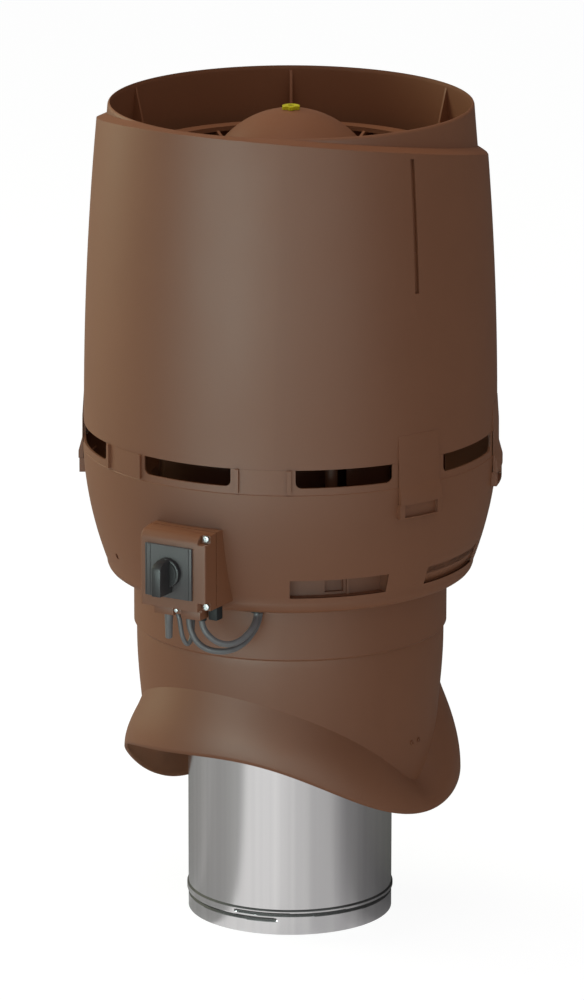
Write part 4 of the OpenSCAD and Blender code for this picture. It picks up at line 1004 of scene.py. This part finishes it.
def makeSwitchScrews(s):
    well, chinFront = -s["faceY"] + s["wellD"], -s["faceY"] + s["coverD"] + s["seam"] - s["chinD"]
    heads = [screwHead((s["screwX"], well, z), *s["coverHead"]) for z in s["screwZ"]]
    x, z = s["chinScrew"]
    return together(heads + [screwHead((x, chinFront, z), *s["chinHead"])])


placePiece("isolatorCover", makeCover(switchFacts), ["switch_cover"])
placePiece("isolatorBase", makeBase(switchFacts, bowlFacts), ["switch_base", "switch_gasket"])
placePiece("isolatorPlate", makePlate(switchFacts), ["switch_plate"], "plateGrey")
placePiece("isolatorKnob", makeKnob(switchFacts), ["switch_knob"], "knobPlastic", "knob")
placePiece("isolatorScrews", makeSwitchScrews(switchFacts), ["cover_screws"], "screwZinc")

entryFacts = {
    "stubAt": (-10, -213, 348.6), "stubR": (4.1, 3.3), "stubLength": 25, "stubRound": 1.4,
    "glandX": (8.1, 22.1), "glandY": -205.5, "glandZ": 346.4, "glandR": 4.4, "glandLength": 2.1,
    "plugX": (28.15, 37.65), "plugY": (-204, -193), "plugZ": (345, 358), "plugRound": 0.8,
}


def makeStub(s):
    # a closed stub, rounded at its lower end
    stub = disc(s["stubR"][0], s["stubAt"], (0, 0, -1), s["stubLength"], 48, s["stubR"][1])
    middle = (s["stubAt"][2] - s["stubLength"] / 2) * mm
    return roundEdges(stub, s["stubRound"], lambda e: all(v.co.z < middle for v in e.verts), 3)


def makeRubbers(s):
    glands = [disc(s["glandR"], (x, s["glandY"], s["glandZ"]), (0, 0, -1), s["glandLength"], 32)
              for x in s["glandX"]]
    return together(glands + [roundEdges(block(s["plugX"], s["plugY"], s["plugZ"]), s["plugRound"])])


placePiece("entryStub", makeStub(entryFacts), ["blanking_plug"], "cableGrey")
placePiece("entryRubbers", makeRubbers(entryFacts), ["switch_glands"], "blackRubber")
print("isolator made")


# Floor, surround and lamps

# brightness that polished pieces mirror, by bearing: one bright side, dark ends
mirrorLevels = [(-180, 0.02), (-120, 0.15), (-78, 0.25), (-64, 0.33), (-60, 0.26), (-36, 0.28),
                (-22, 0.31), (-16, 0.78), (19, 0.80), (23, 0.70), (44, 0.60), (48, 0.52), (69, 0.46),
                (73, 0.38), (93, 0.15), (121, 0.07), (180, 0.01)]
surround = {
    "diffuse": 0.325,      # level for everything that isn't seen in a mirror
    "floorShare": 0.80,    # how much of the floor's look is its own glow, to camera and mirrors
    "floorGlow": 1.15,
}


def bearingRamp(tree, vector):
    split = put(tree, "SeparateXYZ")
    bearing = put(tree, "Math", operation="ARCTAN2")
    back = put(tree, "Math", {1: -1}, operation="MULTIPLY")
    part = put(tree, "MapRange", {"From Min": -pi, "From Max": pi})
    ramp = put(tree, "ValToRGB")
    elements = ramp.color_ramp.elements
    for i, (angle, level) in enumerate(mirrorLevels):
        e = elements[i] if i < 2 else elements.new(1.0)
        e.position = (angle + 180) / 360
        e.color = (level, level, level, 1)
    tree.links.new(vector, split.inputs[0])
    wire(tree, (split, "Y", back, 0), (split, "X", bearing, 0), (back, 0, bearing, 1),
               (bearing, 0, part, "Value"), (part, "Result", ramp, "Fac"))
    return ramp.outputs["Color"]


def addFloor():
    bm = bmesh.new()
    bmesh.ops.create_grid(bm, x_segments=1, y_segments=1, size=14)
    data = bpy.data.meshes.new("floor")
    bm.to_mesh(data)
    bm.free()
    mat, tree, shader = newFinish("paleFloor", 0.0, 0.9, 0.0)
    shader.inputs["Base Color"].default_value = (0.9, 0.9, 0.9, 1)
    path = put(tree, "LightPath")
    seen = put(tree, "Math", operation="MAXIMUM")
    share = put(tree, "Math", {1: surround["floorShare"]}, operation="MULTIPLY")
    glow = put(tree, "Emission", Strength=surround["floorGlow"])
    where = put(tree, "TexCoord")
    shade = put(tree, "Mix", {6: (1, 1, 1, 1)}, data_type="RGBA")
    both = put(tree, "Math", operation="MAXIMUM")
    mix = put(tree, "MixShader")
    wire(tree, (path, "Is Camera Ray", seen, 0), (path, "Is Transmission Ray", seen, 1),
               (seen, 0, both, 0), (path, "Is Glossy Ray", both, 1), (both, 0, share, 0),
               (share, 0, mix, 0), (path, "Is Glossy Ray", shade, 0))
    tree.links.new(bearingRamp(tree, where.outputs["Object"]), shade.inputs[7])
    wire(tree, (shade, 2, glow, "Color"), (shader, 0, mix, 1), (glow, 0, mix, 2))
    tree.links.new(mix.outputs[0], tree.nodes["Material Output"].inputs["Surface"])
    data.materials.append(mat)
    newObject("floor", data)


def addSurround(facts):
    world = bpy.data.worlds.new("studio")
    bpy.context.scene.world = world
    world.use_nodes = True
    tree = world.node_tree
    tree.nodes.clear()
    out = put(tree, "OutputWorld")
    path = put(tree, "LightPath")
    where = put(tree, "TexCoord")
    mirror = put(tree, "Background", Strength=1.0)
    plain = put(tree, "Background", Color=(0.96, 0.98, 1.0, 1), Strength=facts["diffuse"])
    white = put(tree, "Background", Color=(1, 1, 1, 1), Strength=1.0)
    first = put(tree, "MixShader")
    second = put(tree, "MixShader")
    seen = put(tree, "Math", operation="MAXIMUM")
    tree.links.new(bearingRamp(tree, where.outputs["Generated"]), mirror.inputs["Color"])
    wire(tree, (path, "Is Glossy Ray", first, 0), (plain, 0, first, 1), (mirror, 0, first, 2),
               (path, "Is Camera Ray", seen, 0), (path, "Is Transmission Ray", seen, 1),
               (seen, 0, second, 0), (first, 0, second, 1), (white, 0, second, 2),
               (second, 0, out, "Surface"))


lampAimHeight = 0.42
lamps = {
    "leftBank": {"azimuth": -86, "elevation": 20, "distance": 3.2, "size": (1.6, 2.2), "power": 43.5,
                 "color": (0.93, 1.0, 0.70), "gloss": True, "spread": True},
    "sheenBank": {"azimuth": -4, "elevation": 1, "distance": 3.2, "size": (2.4, 0.8), "power": 84,
                  "color": (0.78, 1.0, 0.94), "gloss": True, "spread": False},
    "rightSheen": {"azimuth": 44, "elevation": 1, "distance": 3.2, "size": (2.4, 0.8), "power": 25,
                   "color": (0.80, 1.0, 0.96), "gloss": True, "spread": False},
    "topBank": {"azimuth": 0, "elevation": 84, "distance": 2.8, "size": (1.2, 1.2), "power": 20,
                "color": (1.0, 0.96, 0.90), "gloss": False, "spread": True},
}


def addLamp(name, facts):
    away = direction(facts["azimuth"], facts["elevation"])
    data = bpy.data.lights.new(name, "AREA")
    data.shape = "RECTANGLE"
    data.size, data.size_y = facts["size"]
    data.energy = facts["power"]
    data.color = facts["color"]
    lamp = newObject(name, data)
    lamp.location = Vector((0, 0, lampAimHeight)) + away * facts["distance"]
    lamp.rotation_euler = away.to_track_quat("Z", "Y").to_euler()
    lamp.visible_camera = False
    lamp.visible_glossy = facts["gloss"]
    lamp.visible_diffuse = facts["spread"]


addFloor()
addSurround(surround)
for lampName, facts in lamps.items():
    addLamp(lampName, facts)
bpy.context.scene.view_settings.view_transform = "Standard"
print("studio lit")
